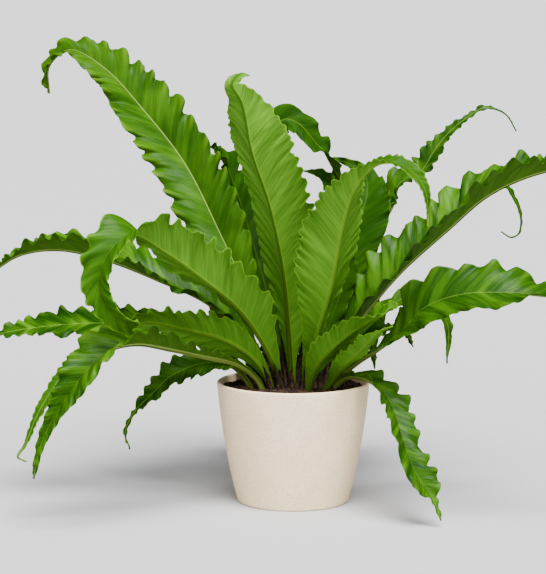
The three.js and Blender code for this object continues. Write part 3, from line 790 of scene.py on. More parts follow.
    def _mesh(
        self, ring: Array, u: Array, v: Array, crest: Array, half: Array, length: float
    ) -> bpy.types.Object:
        """Turns the rings of points into a closed mesh with its surface values.

        Args:
            ring: rows by columns by 3 places
            u: shares of the length, as a column
            v: places across, as a row
            crest: the wave's height at each place
            half: the half width at each place
            length: the midrib's length
        Returns:
            the object
        """
        rows, columns = ring.shape[:2]
        wide = v.shape[1]
        j = np.arange(wide - 1)
        below = 2 * wide - j
        cap = np.stack([j, j + 1, below - 1, below], -1)
        corners = np.array([[wide - 1, wide, wide + 1], [2 * wide, columns - 1, 0]])
        last = (rows - 1) * columns
        tips = [cap, corners, cap[:, ::-1] + last, corners[:, ::-1] + last]

        def spread(upper: Array, edge_right: Array, edge_left: Array) -> Array:
            """One value for each point of the rings, alike above and below."""
            grid = np.broadcast_to(upper, (rows, wide))
            return np.concatenate([grid, edge_right, grid[:, ::-1], edge_left], axis=1)

        ends = np.zeros((rows, 1))
        face = np.ones((rows, wide))
        values = {
            "along": spread(u * length, u * length, u * length),
            "share": spread(u, u, u),
            "from_rib": spread(half * np.abs(v), half[:, -1:], half[:, :1]),
            "from_edge": spread(half * (1 - np.abs(v)), ends, ends),
            "crest": spread(crest, crest[:, -1:], crest[:, :1]),
            "under": np.concatenate([0 * face, ends + 0.5, face, ends + 0.5], axis=1),
        }
        faces = [grid_faces(rows, columns, closed=True), *tips]
        return make_object(self.name, ring.reshape(-1, 3), faces, values)


class Blend(Enum):
    """What a Mix node blends: its data type, its two inputs' numbers and its output's number."""

    NUMBER = ("FLOAT", 2, 3, 0)
    COLOUR = ("RGBA", 6, 7, 2)


class NodeBench:
    """Adds and joins shader nodes in one node tree.

    Attributes:
        row_length: nodes in a row of the tree's layout
        spacing: distance from one node to the next across and up
    """

    row_length: int = 8
    spacing: tuple[int, int] = (200, -260)

    def __init__(self, tree: bpy.types.NodeTree) -> None:
        """Takes the tree to work in.

        Args:
            tree: a material's, a world's or a group's node tree
        """
        self.tree = tree
        self._count = 0

    def add(self, kind: str, settings: dict[str, object] | None = None, **inputs: Feed) -> bpy.types.Node:
        """Adds a node, sets its options and feeds its inputs.

        Args:
            kind: the node's type name without its ShaderNode prefix
            settings: options of the node, by attribute name
            inputs: a value or an output socket for each input, by name with underscores
        Returns:
            the node
        """
        node = self.tree.nodes.new("ShaderNode" + kind)
        row, column = divmod(self._count, self.row_length)
        node.location = (self.spacing[0] * column, self.spacing[1] * row)
        self._count += 1
        for option, value in (settings or {}).items():
            setattr(node, option, value)
        for label, value in inputs.items():
            self.feed(node.inputs[label.replace("_", " ")], value)
        return node

    def feed(self, socket: Socket, value: Feed) -> None:
        """Links an output socket to an input, or sets the input's value.

        Args:
            socket: the input
            value: an output socket, a number or a colour
        """
        if isinstance(value, Socket):
            self.tree.links.new(value, socket)
        elif isinstance(value, tuple) and socket.type == "RGBA":
            socket.default_value = (*value, 1.0)
        else:
            socket.default_value = value

    def maths(self, operation: str, *values: Feed) -> Socket:
        """The result of a Math node.

        Args:
            operation: the node's operation
            values: what it works on
        Returns:
            the output socket
        """
        node = self.add("Math", {"operation": operation})
        for socket, value in zip(node.inputs, values):
            self.feed(socket, value)
        return node.outputs[0]

    def ramp(self, value: Feed, low: Feed, high: Feed) -> Socket:
        """A smooth step.

        Args:
            value: what it reads
            low: the value up to which it is 0
            high: the value from which on it is 1
        Returns:
            the output socket
        """
        node = self.add("MapRange", {"interpolation_type": "SMOOTHSTEP"}, Value=value)
        self.feed(node.inputs["From Min"], low)
        self.feed(node.inputs["From Max"], high)
        return node.outputs["Result"]

    def fade(self, value: Feed, none: Feed, full: Feed, strength: float) -> Socket:
        """A smooth step from nothing at none to that strength at full."""
        return self.maths("MULTIPLY", self.ramp(value, none, full), strength)

    def _between(self, kind: Blend, factor: Feed, first: Feed, second: Feed) -> Socket:
        """What lies between two inputs.

        Args:
            kind: what is blended
            factor: 0 for the first and 1 for the second
            first: the first input
            second: the second input
        Returns:
            the output socket
        """
        data_type, low, high, result = kind.value
        node = self.add("Mix", {"data_type": data_type})
        for number, value in ((0, factor), (low, first), (high, second)):
            self.feed(node.inputs[number], value)
        return node.outputs[result]

    def mix(self, factor: Feed, first: Feed, second: Feed) -> Socket:
        """The colour between first and second at that factor."""
        return self._between(Blend.COLOUR, factor, first, second)

    def blend(self, factor: Feed, first: Feed, second: Feed) -> Socket:
        """The number between first and second at that factor."""
        return self._between(Blend.NUMBER, factor, first, second)

    def value(self, name: str) -> Socket:
        """The piece's own surface value of that name."""
        return self.add("Attribute", {"attribute_name": name}).outputs["Fac"]

    def place(self) -> Socket:
        """The place on the object, in metres."""
        return self.add("TexCoord").outputs["Object"]

    def noise(self, vector: Socket, scale: float, detail: float = 2.0) -> Socket:
        """Smooth noise about 0.5 at that many lumps to a unit."""
        return self.add("TexNoise", Vector=vector, Scale=scale, Detail=detail).outputs["Fac"]


def bare_material(name: str) -> tuple[bpy.types.Material, NodeBench, bpy.types.Node]:
    """A new material with an empty Principled BSDF.

    Args:
        name: the material's name
    Returns:
        the material, a bench for its nodes and the shader
    """
    material = bpy.data.materials.new(name)
    material.use_nodes = True
    return material, NodeBench(material.node_tree), material.node_tree.nodes["Principled BSDF"]


def roughen(bench: NodeBench, shader: bpy.types.Node, height: Socket, strength: float, depth: float) -> None:
    """Gives the shader a bumpy surface.

    Args:
        bench: the material's bench
        shader: the shader
        height: what the bumps follow
        strength: how strongly they show
        depth: their depth in millimetres
    """
    bump = bench.add("Bump", Strength=strength, Distance=depth * MM, Height=height)
    bench.feed(shader.inputs["Normal"], bump.outputs[0])


@dataclass(frozen=True)
class Marking:
    """Noise on the leaf that is fine along the midrib and drawn out along the veins.

    Attributes:
        along: lumps to a millimetre along the midrib
        out: lumps to a millimetre out from it
        detail: finer layers in the noise
    """

    along: float
    out: float
    detail: float

    def noise(self, bench: NodeBench, given: bpy.types.Node) -> Socket:
        """The noise on the length along the midrib and the distance from it.

        Args:
            bench: the group's bench
            given: the group's input node
        Returns:
            the output socket
        """
        place = bench.add(
            "CombineXYZ",
            X=bench.maths("MULTIPLY", given.outputs["Along"], self.along),
            Y=bench.maths("MULTIPLY", given.outputs["Out"], self.out),
            Z=given.outputs["Seed"],
        )
        return bench.noise(place.outputs[0], 1.0, self.detail)


@dataclass(frozen=True)
class LeafVeins:
    """The leaf's markings: streaks and fine parallel veins, which follow the blade as it bends.

    Attributes:
        streak: the broad light and dark streaks
        vein: the parallel veins
        fine: the fine lines between them
        streak_edges: noise where a streak sets in and where it is full
        vein_edges: the same for a vein
        fine_relief: height of the fine lines, as a share of the veins'
    """

    streak: Marking = Marking(along=0.085, out=0.022, detail=3.0)
    vein: Marking = Marking(along=0.62, out=0.03, detail=2.0)
    fine: Marking = Marking(along=1.5, out=0.06, detail=1.0)
    streak_edges: tuple[float, float] = (0.36, 0.66)
    vein_edges: tuple[float, float] = (0.38, 0.64)
    fine_relief: float = 0.35

    def group(self) -> bpy.types.NodeTree:
        """Makes the node group.

        Returns:
            the group, with inputs Along, Out and Seed and outputs Streak, Vein and Relief
        """
        group = bpy.data.node_groups.new("leaf_veins", "ShaderNodeTree")
        for label in ("Along", "Out", "Seed"):
            group.interface.new_socket(label, in_out="INPUT", socket_type="NodeSocketFloat")
        for label in ("Streak", "Vein", "Relief"):
            group.interface.new_socket(label, in_out="OUTPUT", socket_type="NodeSocketFloat")
        bench = NodeBench(group)
        given = group.nodes.new("NodeGroupInput")
        result = group.nodes.new("NodeGroupOutput")
        streak, vein, fine = (mark.noise(bench, given) for mark in (self.streak, self.vein, self.fine))
        relief = bench.maths("ADD", vein, bench.maths("MULTIPLY", fine, self.fine_relief))
        bench.feed(result.inputs["Streak"], bench.ramp(streak, *self.streak_edges))
        bench.feed(result.inputs["Vein"], bench.ramp(vein, *self.vein_edges))
        bench.feed(result.inputs["Relief"], relief)
        return group


@dataclass(frozen=True)
class LeafValues:
    """What a leaf's colours follow: its surface values and its markings.

    Attributes:
        along: length along the midrib, in millimetres
        out: distance from the midrib, in millimetres
        share: share of the length
        crest: height of the wave, from -1 to 1
        streak: the broad streaks
        vein: the parallel veins
    """

    along: Socket
    out: Socket
    share: Socket
    crest: Socket
    streak: Socket
    vein: Socket


@dataclass(frozen=True)
class LeafFinish:
    """Glossy green above and matt lighter green below, with veins, midrib and margin.

    A fade's numbers are the value where it sets in, the one where it is full and, where all fronds
    share it, its strength.

    Attributes:
        above: deep and light green of the upper face
        below: deep and light green of the lower face
        rib: colour of the thin midrib above
        keel: colour along the sides of the thick midrib below
        stalk: colour of the stalk and of the thick midrib's back
        margin: colour of the thin edge; the grown fronds' dark green edge is painted shade where the rim
            turns away
        lobe: painted light: the lighter colour that the upper face takes on the crests of the margin's lobes
        gloss: roughness above and below
        shine: strength of its reflections
        rim: place on the rim where the upper face's colour turns into the lower one's
        vein_slant: how far the veins run towards the tip, as a share of the distance out
        cloud_grain: soft clouds to a metre
        cloud_edges: fade of a cloud, by the noise
        cloud_depth: how far the clouds lift and sink the tone
        contrast: power that keeps the dark greens wide and the light ones narrow
        vein_light: how much lighter the veins are
        hollow_shade: painted shade: fade of the deep green in the hollows of the waves above
        hollow_shade_depth: its strength, and what the tone adds to it
        bulge: painted light: fade of the lobe's colour on the crests above, where the waves rise
        bulge_light_depth: its strength, and what the tone adds to it
        groove: fade of the midrib's colour above, by the distance from the midrib
        streak_share: share of the streak beside the vein in the lower face's pattern
        below_range: how far that pattern goes from the deep to the light green
        fold_shade: fade of the deep green on the crests below
        keel_width: half width of the midrib's colour below, at the stalk and at the tip
        flank: share of that width where the keel's colour is full
        flank_depth: its strength, and what the frond's keel adds to it
        back: shares of that width where the back's colour sets in and is full
        back_fade: fade from the stalk's colour to green on the back, by the share of the length
        edge: fade of the margin's colour, by the distance from the margin
        root: fade of the stalk's colour, by the length along the midrib
        dusk: fade of the deep green down in the shade of the other fronds, by that length
        vein_roughness: how much rougher the veins are
        relief: strength of the bumps, and their depth in millimetres
        flesh: share of the light that goes in and comes out beside
        flesh_reach: how far red, green and blue go in, relative to one another
        flesh_scale: how far that is, in metres
    """

    above: tuple[Colour, Colour]
    below: tuple[Colour, Colour]
    rib: Colour
    keel: Colour
    stalk: Colour
    margin: Colour
    lobe: Colour
    gloss: tuple[float, float] = (0.24, 0.5)
    shine: float = 0.05
    rim: tuple[float, float] = (0.35, 0.65)
    vein_slant: float = 0.4
    cloud_grain: float = 22.0
    cloud_edges: tuple[float, float] = (0.38, 0.62)
    cloud_depth: float = 0.15
    contrast: float = 1.5
    vein_light: float = 0.12
    hollow_shade: tuple[float, float] = (0.0, -0.9)
    hollow_shade_depth: tuple[float, float] = (0.62, -0.8)
    bulge: tuple[float, float] = (0.35, 1.0)
    bulge_light_depth: tuple[float, float] = (0.18, 0.45)
    groove: tuple[float, float] = (1.1, 0.3)
    streak_share: float = 0.45
    below_range: tuple[float, float] = (0.25, 0.85)
    fold_shade: tuple[float, float, float] = (0.0, 0.9, 0.5)
    keel_width: tuple[float, float] = (3.4, 1.7)
    flank: float = 0.7
    flank_depth: tuple[float, float] = (0.45, 0.4)
    back: tuple[float, float] = (0.66, 0.4)
    back_fade: tuple[float, float] = (0.15, 0.6)
    edge: tuple[float, float, float] = (1.1, 0.1, 0.6)
    root: tuple[float, float, float] = (40.0, 4.0, 0.6)
    dusk: tuple[float, float, float] = (230.0, 50.0, 0.42)
    vein_roughness: float = 0.06
    relief: tuple[float, float] = (0.6, 0.6)
    flesh: float = 0.1
    flesh_reach: tuple[float, float, float] = (0.35, 1.0, 0.05)
    flesh_scale: float = 0.0015

    def _above(self, bench: NodeBench, leaf: LeafValues, shape: FrondShape) -> Socket:
        """The upper face: a tone of clouds and streaks, then veins, painted shade in the hollows of the
        waves, painted light on the crests of the lobes, and the midrib.

        Args:
            bench: the material's bench
            leaf: what the colours follow
            shape: the frond
        Returns:
            the colour
        """
        deep, light = self.above
        cloud = bench.ramp(bench.noise(bench.place(), self.cloud_grain), *self.cloud_edges)
        tone = bench.blend(cloud, shape.tone - self.cloud_depth, shape.tone + self.cloud_depth)
        lit = bench.maths("MAXIMUM", bench.blend(shape.streaks, tone, leaf.streak), 0.0)
        hollow_shade_base, hollow_shade_slope = self.hollow_shade_depth
        bulge_light_base, bulge_light_slope = self.bulge_light_depth
        hollow_shade = bench.fade(leaf.crest, *self.hollow_shade, hollow_shade_base + hollow_shade_slope * shape.tone)
        bulge = bench.fade(leaf.crest, *self.bulge, bulge_light_base + bulge_light_slope * shape.tone)
        colour = bench.mix(bench.maths("POWER", lit, self.contrast), deep, light)
        colour = bench.mix(bench.maths("MULTIPLY", leaf.vein, self.vein_light), colour, light)
        # painted shade: the deep green in the hollows of the waves
        colour = bench.mix(hollow_shade, colour, deep)
        # painted light: the lighter lobe colour on the crests where the waves rise
        colour = bench.mix(bulge, colour, self.lobe)
        return bench.mix(bench.fade(leaf.out, *self.groove, shape.rib), colour, self.rib)

    def _below(self, bench: NodeBench, leaf: LeafValues, shape: FrondShape) -> Socket:
        """The lower face: a soft pattern of veins and streaks, then shaded folds and the midrib.

        Args:
            bench: the material's bench
            leaf: what the colours follow
            shape: the frond
        Returns:
            the colour
        """
        deep = self.below[0]
        soft = bench.blend(self.streak_share, leaf.vein, leaf.streak)
        colour = bench.mix(bench.blend(soft, *self.below_range), *self.below)
        colour = bench.mix(bench.fade(leaf.crest, *self.fold_shade), colour, deep)
        width = bench.blend(leaf.share, *self.keel_width)
        flank, back_start, back_full = (
            bench.maths("MULTIPLY", width, part) for part in (self.flank, *self.back)
        )
        flank_base, flank_slope = self.flank_depth
        sides = bench.fade(leaf.out, width, flank, flank_base + flank_slope * shape.keel)
        colour = bench.mix(sides, colour, self.keel)
        shade = bench.mix(bench.ramp(leaf.share, *self.back_fade), self.stalk, deep)
        return bench.mix(bench.fade(leaf.out, back_start, back_full, shape.keel), colour, shade)

    def material(
        self, name: str, veins: bpy.types.NodeTree, shape: FrondShape, seed: float
    ) -> bpy.types.Material:
        """Makes the material.

        Args:
            name: the material's name
            veins: the node group of leaf markings
            shape: the frond, which says how light, streaked and dark in the rib it is
            seed: moves the markings, so that no two materials are alike
        Returns:
            the material
        """
        material, bench, shader = bare_material(name)
        along, out, share, crest = (bench.value(k) for k in ("along", "from_rib", "share", "crest"))
        slanted = bench.maths("SUBTRACT", along, bench.maths("MULTIPLY", out, self.vein_slant))
        marks = bench.add("Group", {"node_tree": veins}, Along=slanted, Out=out, Seed=seed)
        streak, vein, relief = (marks.outputs[k] for k in ("Streak", "Vein", "Relief"))
        leaf = LeafValues(along, out, share, crest, streak, vein)
        under = bench.ramp(bench.value("under"), *self.rim)
        face = bench.mix(under, self._above(bench, leaf, shape), self._below(bench, leaf, shape))
        face = bench.mix(bench.fade(bench.value("from_edge"), *self.edge), face, self.margin)
        face = bench.mix(bench.fade(along, *self.dusk), face, self.below[0])
        face = bench.mix(bench.fade(along, *self.root), face, self.stalk)
        rough = bench.maths("MULTIPLY", vein, self.vein_roughness)
        bench.feed(shader.inputs["Base Color"], face)
        bench.feed(shader.inputs["Roughness"], bench.maths("ADD", bench.blend(under, *self.gloss), rough))
        roughen(bench, shader, relief, *self.relief)
        shader.inputs["Subsurface Weight"].default_value = self.flesh
        shader.inputs["Subsurface Radius"].default_value = self.flesh_reach
        shader.inputs["Subsurface Scale"].default_value = self.flesh_scale
        shader.inputs["Specular IOR Level"].default_value = self.shine
        return material


# Each finish's lobe colour is painted light on the crests of the margin's lobes.
LEAF_FINISHES: dict[Leafage, LeafFinish] = {
    Leafage.YOUNG: LeafFinish(
        above=((0.012, 0.056, 0.001), (0.066, 0.185, 0.005)),
        below=((0.027, 0.095, 0.003), (0.114, 0.29, 0.016)),
        rib=(0.16, 0.27, 0.04),
        keel=(0.135, 0.25, 0.012),
        stalk=(0.025, 0.027, 0.002),
        margin=(0.12, 0.25, 0.01),
        lobe=(0.10, 0.235, 0.006),
    ),
    Leafage.GROWN: LeafFinish(
        above=((0.004, 0.029, 0.0004), (0.066, 0.188, 0.005)),
        below=((0.017, 0.056, 0.002), (0.05, 0.128, 0.005)),
        rib=(0.165, 0.26, 0.04),
        keel=(0.27, 0.33, 0.075),
        stalk=(0.15, 0.19, 0.03),
        # painted shade: a dark green edge where the rim turns away
        margin=(0.025, 0.085, 0.002),
        lobe=(0.125, 0.26, 0.01),
    ),
    # painted shade: darker greens for the fronds that stand in shade inside and at the back
    Leafage.SHADED: LeafFinish(
        above=((0.005, 0.027, 0.0007), (0.02, 0.075, 0.0015)),
        below=((0.016, 0.046, 0.0015), (0.036, 0.09, 0.0035)),
        rib=(0.054, 0.115, 0.007),
        keel=(0.054, 0.1, 0.007),
        stalk=(0.021, 0.019, 0.003),
        margin=(0.032, 0.093, 0.0035),
        lobe=(0.032, 0.1, 0.002),
        gloss=(0.35, 0.55),
        shine=0.02,
    ),
}


@dataclass(frozen=True)
class PotFinish:
    """Matt cream clay with fine brown specks.

    Attributes:
        body: the clay's colour
        cloud: its colour in faint clouds
        speck: colour of the specks
        cloud_grain: clouds to a metre
        cloud_edges: fade of a cloud, by the noise
        small_grain: small specks to a metre
        small: noise where a speck sets in and is full, and its strength
        coarse_grain: large specks to a metre
        coarse: the same for a large speck
        gloss: least and greatest roughness
        relief: strength of the grain, and its depth in millimetres
    """

    body: Colour = (0.96, 0.75, 0.475)
    cloud: Colour = (0.92, 0.71, 0.44)
    speck: Colour = (0.36, 0.24, 0.12)
    cloud_grain: float = 30.0
    cloud_edges: tuple[float, float] = (0.35, 0.65)
    small_grain: float = 1100.0
    small: tuple[float, float, float] = (0.48, 0.70, 0.42)
    coarse_grain: float = 480.0
    coarse: tuple[float, float, float] = (0.70, 0.79, 0.3)
    gloss: tuple[float, float] = (0.58, 0.74)
    relief: tuple[float, float] = (0.35, 0.25)

    def material(self) -> bpy.types.Material:
        """Makes the material: faint clouds, two sizes of specks and a fine grain.

        Returns:
            the material
        """
        material, bench, shader = bare_material("speckled_clay")
        place = bench.place()
        clouds = bench.ramp(bench.noise(place, self.cloud_grain), *self.cloud_edges)
        small = bench.noise(place, self.small_grain, detail=1.0)
        coarse = bench.noise(place, self.coarse_grain, detail=0.0)
        specks = bench.maths("MAXIMUM", bench.fade(small, *self.small), bench.fade(coarse, *self.coarse))
        colour = bench.mix(specks, bench.mix(clouds, self.body, self.cloud), self.speck)
        bench.feed(shader.inputs["Base Color"], colour)
        bench.feed(shader.inputs["Roughness"], bench.blend(small, *self.gloss))
        roughen(bench, shader, small, *self.relief)
        return material


@dataclass(frozen=True)
class EarthFinish:
    """A crumbly or fibrous brown, from dark to light.

    Attributes:
        dark: colour where the coarse or the fine lumps are low
        light: colour where coarse and fine lumps are both high
        grain: coarse lumps to a metre
        finer: how many fine lumps there are to a coarse one
        coarse_edges: fade of a coarse lump, by the noise
        fine_edges: the same for a fine lump
        gloss: least and greatest roughness
        relief: strength of the bumps, and their depth in millimetres
        shine: strength of its reflections
    """

    dark: Colour
    light: Colour
    grain: float
    finer: float = 4.0
    coarse_edges: tuple[float, float] = (0.4, 0.68)
    fine_edges: tuple[float, float] = (0.3, 0.7)
    gloss: tuple[float, float] = (0.75, 1.0)
    relief: tuple[float, float] = (0.9, 0.6)
    shine: float = 0.25

    def material(self, name: str) -> bpy.types.Material:
        """Makes the material: light where coarse and fine lumps meet, and a grain of fine ones.

        Args:
            name: the material's name
        Returns:
            the material
        """
        material, bench, shader = bare_material(name)
        place = bench.place()
        coarse = bench.noise(place, self.grain, detail=4.0)
        fine = bench.noise(place, self.grain * self.finer, detail=3.0)
        lumps_met = bench.maths(
            "MULTIPLY", bench.ramp(coarse, *self.coarse_edges), bench.ramp(fine, *self.fine_edges)
        )
        bench.feed(shader.inputs["Base Color"], bench.mix(lumps_met, self.dark, self.light))
        bench.feed(shader.inputs["Roughness"], bench.blend(fine, *self.gloss))
        roughen(bench, shader, fine, *self.relief)
        shader.inputs["Specular IOR Level"].default_value = self.shine
        return material


@dataclass
class Pot:
    """The tapered pot, with a bulging wall, a rounded lip and a softened foot.

    Attributes:
        height: from the foot to the lip's top
        rim_radius: outer radius of the lip
        foot_radius: outer radius where the foot's rounding ends
        foot_rounding: radius of that rounding
        foot_turn: angle at which the rounding runs into the wall, in radians
        foot_flat: distance from the rounding to the next point of the flat foot
        wall: thickness of the wall
        floor: height of the floor's upper face
        floor_inset: how far the floor's flat part stops short of the wall
        floor_share: share of the wall's curve at which the inner wall ends
        bulge: the point that the wall's curve leans to, as a radius and a height
        steps: points of the foot, the lip, the outer wall and the inner wall
        measured: points at which the wall is measured
        sides: steps round the axis
    """

    height: float = 119.0
    rim_radius: float = 75.0
    foot_radius: float = 55.5
    foot_rounding: float = 2.5
    foot_turn: float = -0.15
    foot_flat: float = 1.0
    wall: float = 3.4
    floor: float = 5.0
    floor_inset: float = 2.0
    floor_share: float = 0.06
    bulge: tuple[float, float] = (69.5, 55.0)
    steps: tuple[int, int, int, int] = (6, 13, 30, 20)
    measured: int = 60
    sides: int = 160

    def wall_points(self, share: Array) -> Array:
        """Points of the outer wall, a quadratic curve from the foot to the rim.

        Args:
            share: places on the curve, from 0 to 1
        Returns:
            their radii and heights
        """
        start = np.array([self.foot_radius, self.foot_rounding])
        end = np.array([self.rim_radius, self.height - self.wall / 2])
        t = share[:, None]
        return (1 - t) ** 2 * start + 2 * t * (1 - t) * np.array(self.bulge) + t**2 * end

    def inner_radius(self, height: float) -> float:
        """The inner radius at a height: the outer wall's, less the wall."""
        points = self.wall_points(np.linspace(0.0, 1.0, self.measured))
        return float(np.interp(height, points[:, 1], points[:, 0])) - self.wall

    def build(self) -> bpy.types.Object:
        """Turns the closed profile: foot, outer wall, lip as a half circle, inner wall and floor.

        Returns:
            the pot
        """
        foot_steps, lip_steps, outer_steps, inner_steps = self.steps
        r = self.foot_rounding
        flat = self.foot_radius - r
        turn = np.linspace(-math.pi / 2, self.foot_turn, foot_steps)
        foot = np.stack([flat + r * np.cos(turn), r + r * np.sin(turn)], -1)
        half = self.wall / 2
        turn = np.linspace(0.0, math.pi, lip_steps)[1:-1]
        lip_radius, lip_height = self.rim_radius - half, self.height - half
        lip = np.stack([lip_radius + half * np.cos(turn), lip_height + half * np.sin(turn)], -1)
        outer = self.wall_points(np.linspace(0.0, 1.0, outer_steps))
        inner = self.wall_points(np.linspace(1.0, self.floor_share, inner_steps)) - [self.wall, 0.0]
        below = [[0.0, 0.0], [flat - self.foot_flat, 0.0]]
        floor = [[inner[-1, 0] - self.floor_inset, self.floor], [0.0, self.floor]]
        points, faces = turned(np.vstack([below, foot, outer[1:], lip, inner, floor]), self.sides)
        pot = make_object("pot_clay", points, faces)
        pot.data.materials.append(PotFinish().material())
        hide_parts("pot")
        return pot


@dataclass
class Soil:
    """The soil: a plug with an uneven crumbly top, and loose crumbs that lie on it.

    Attributes:
        pot: the pot that it fills
        top: height of its surface
        gap: clearance to the pot
        foot_inset: how far the plug's foot stops short of the wall
        skirt: heights at which the plug follows the wall
        crowding: power that crowds the rings towards the wall
        rings: rings of points on the surface
        sides: steps round the axis
        swells: size and height of the broad waves and of the lumps on them
        crumble: size and height of the fine crumbly relief
        crumble_waves: plane waves that it is made of
        lift: how far the surface lies above its height in the solids
        edge_drop: how far the surface sinks at the wall
        edge_width: width of the strip where it sinks
        crumbs: number of loose crumbs
        crumb_reach: square of the farthest share of the radius where they lie
        crumb_size: least and greatest radius
        crumb_scale: least and greatest factor on it
        crumb_stretch: factors on its width, depth and height
        crumb_dent: how far its corners are pushed in or out
        crumb_lie: share of its radius that a crumb's middle lies above the surface
        finish: the damp soil's finish
        seed: seed of the lumps and the crumbs
    """

    pot: Pot
    top: float = 112.0
    gap: float = 0.35
    foot_inset: float = 1.5
    skirt: tuple[float, ...] = (12.0, 30.0, 60.0, 90.0)
    crowding: float = 0.85
    rings: int = 110
    sides: int = 260
    quick_sides: int = 60
    swells: tuple[tuple[float, float], ...] = ((26.0, 0.9), (8.0, 0.75))
    crumble: tuple[float, float] = (3.2, 0.5)
    crumble_waves: int = 16
    lift: float = 0.6
    edge_drop: float = 0.8
    edge_width: float = 3.0
    crumbs: int = 1100
    crumb_reach: float = 0.97
    crumb_size: tuple[float, float] = (0.5, 1.15)
    crumb_scale: tuple[float, float] = (0.8, 1.7)
    crumb_stretch: tuple[float, float] = (0.55, 1.25)
    crumb_dent: float = 0.22
    crumb_lie: float = 0.25
    finish: EarthFinish = EarthFinish(dark=(0.006, 0.003, 0.0016), light=(0.13, 0.062, 0.03), grain=420.0)
    seed: int = 5

    def height(self, x: Array, y: Array, from_wall: Array) -> Array:
        """The surface's height: waves, lumps and crumbly relief, which sinks smoothly at the wall.

        Args:
            x: places to the right
            y: places to the back
            from_wall: their distance from the soil's edge
        Returns:
            the height at each place
        """
        rough = self.top + self.lift
        for number, (size, height) in enumerate(self.swells):
            rough = rough + height * lumps(x, y, size, self.seed + number)
        size, height = self.crumble
        fine = lumps(x, y, size, self.seed + len(self.swells), self.crumble_waves)
        rough = rough + height * np.abs(fine)
        inward = ease(from_wall / self.edge_width)
        return self.top - self.edge_drop + (rough - self.top + self.edge_drop) * inward

    def build(self) -> list[bpy.types.Object]:
        """Makes the plug, turned from its profile and then roughened on top, and the crumbs.

        Returns:
            the plug and the joined crumbs
        """
        edge = self.pot.inner_radius(self.top) - self.gap
        radii = np.linspace(1.0, 0.0, self.rings) ** self.crowding * edge
        low = self.pot.floor + self.gap
        rim = [[0.0, low], [self.pot.inner_radius(low) - self.gap - self.foot_inset, low]]
        rim += [[self.pot.inner_radius(h) - self.gap, h] for h in self.skirt]
        profile = np.vstack([rim, np.stack([radii, np.full(self.rings, self.top)], -1)])
        points, faces = turned(profile, self.sides)
        up = points[:, 2] == self.top
        x, y = points[up, 0], points[up, 1]
        points[up, 2] = self.height(x, y, edge - np.hypot(x, y))
        plug = make_object("soil_plug", points, faces)
        crumbs = self._crumbs(edge)
        earth = self.finish.material("soil")
        for piece in (plug, crumbs):
            piece.data.materials.append(earth)
            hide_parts("soil")
        return [plug, crumbs]

    def _crumbs(self, edge: float) -> bpy.types.Object:
        """Small lumps of soil: twelve-cornered balls, each stretched, turned and dented at random.

        Args:
            edge: the soil's radius at its surface
        Returns:
            the joined crumbs
        """
        rng = np.random.default_rng(self.seed)
        count = self.crumbs
        corners, faces = twenty_faces()
        radius = edge * np.sqrt(rng.uniform(0.0, self.crumb_reach, count))
        angle = rng.uniform(0.0, math.tau, count)
        x, y = radius * np.cos(angle), radius * np.sin(angle)
        size = rng.uniform(*self.crumb_size, count) * rng.uniform(*self.crumb_scale, count)
        stretch = rng.uniform(*self.crumb_stretch, (count, 1, 3))
        dents = 1 + rng.uniform(-self.crumb_dent, self.crumb_dent, (count, len(corners), 1))
        balls = np.einsum("nij,nkj->nki", random_turns(rng, count), corners[None] * stretch * dents)
        z = self.height(x, y, edge - radius) + size * self.crumb_lie
        points = balls * size[:, None, None] + np.stack([x, y, z], -1)[:, None]
        numbers = faces[None] + np.arange(count)[:, None, None] * len(corners)
        return make_object("soil_crumbs", points.reshape(-1, 3), [numbers.reshape(-1, 3)], smooth=False)


def twenty_faces() -> tuple[Array, Array]:
    """The body of twenty triangles, whose corners lie on three golden rectangles.

    Three corners make a face where all of them are nearest neighbours.

    Returns:
        the corners, at unit radius, and the outward faces
    """
    g = (1 + math.sqrt(5)) / 2
    ring = [(-1, g, 0), (1, g, 0), (-1, -g, 0), (1, -g, 0)]
    corners = np.array(ring + [(c, a, b) for a, b, c in ring] + [(b, c, a) for a, b, c in ring], float)
    corners /= math.hypot(1, g)
    apart = np.linalg.norm(corners[:, None] - corners[None], axis=-1)
    neighbour = 1.2
    near = (apart < neighbour) & (apart > 0)
    i, j, k = np.nonzero(near[:, :, None] & near[:, None, :] & near[None])
    once = (i < j) & (j < k)
    faces = np.stack([i[once], j[once], k[once]], -1)
    first, second, third = (corners[column] for column in faces.T)
    normal = np.cross(second - first, third - first)
    inside = np.sum(normal * (first + second + third), axis=1) < 0
    faces[inside] = faces[inside][:, ::-1]
    return corners, faces


def random_turns(rng: np.random.Generator, count: int) -> Array:
    """Random rotation matrices, from unit quaternions drawn evenly.

    Args:
        rng: the random numbers
        count: how many
    Returns:
        count by 3 by 3 matrices
    """
    q = rng.normal(size=(count, 4))
    w, x, y, z = (q / np.linalg.norm(q, axis=1)[:, None]).T
    rows = [
        [1 - 2 * (y * y + z * z), 2 * (x * y - z * w), 2 * (x * z + y * w)],
        [2 * (x * y + z * w), 1 - 2 * (x * x + z * z), 2 * (y * z - x * w)],
        [2 * (x * z - y * w), 2 * (y * z + x * w), 1 - 2 * (x * x + y * y)],
    ]
    return np.array(rows).transpose(2, 0, 1)


@dataclass(frozen=True)
class Spikes:
    """A kind of dry spike that stands on the crown.

    Attributes:
        count: how many there are
        reach: square of the farthest share of the oval where they stand
        sunk: depth of their feet below the surface
        sway: random lean, as a share of the height
        outward: lean away from the middle, as a share of the height
        lengths: least and greatest length
        radii: least and greatest radius at the foot
    """

    count: int
    reach: float
    sunk: float
    sway: float
    outward: float
    lengths: tuple[float, float]
    radii: tuple[float, float]


@dataclass(frozen=True)
class Stub:
    """The dry stub of an old stalk.

    Attributes:
        x: its place to the right
        y: its place to the back
        length: its greatest length
        lean: angle from upright, in degrees
        bearing: the way that it leans to
    """

    x: float
    y: float
    length: float
    lean: float
    bearing: float


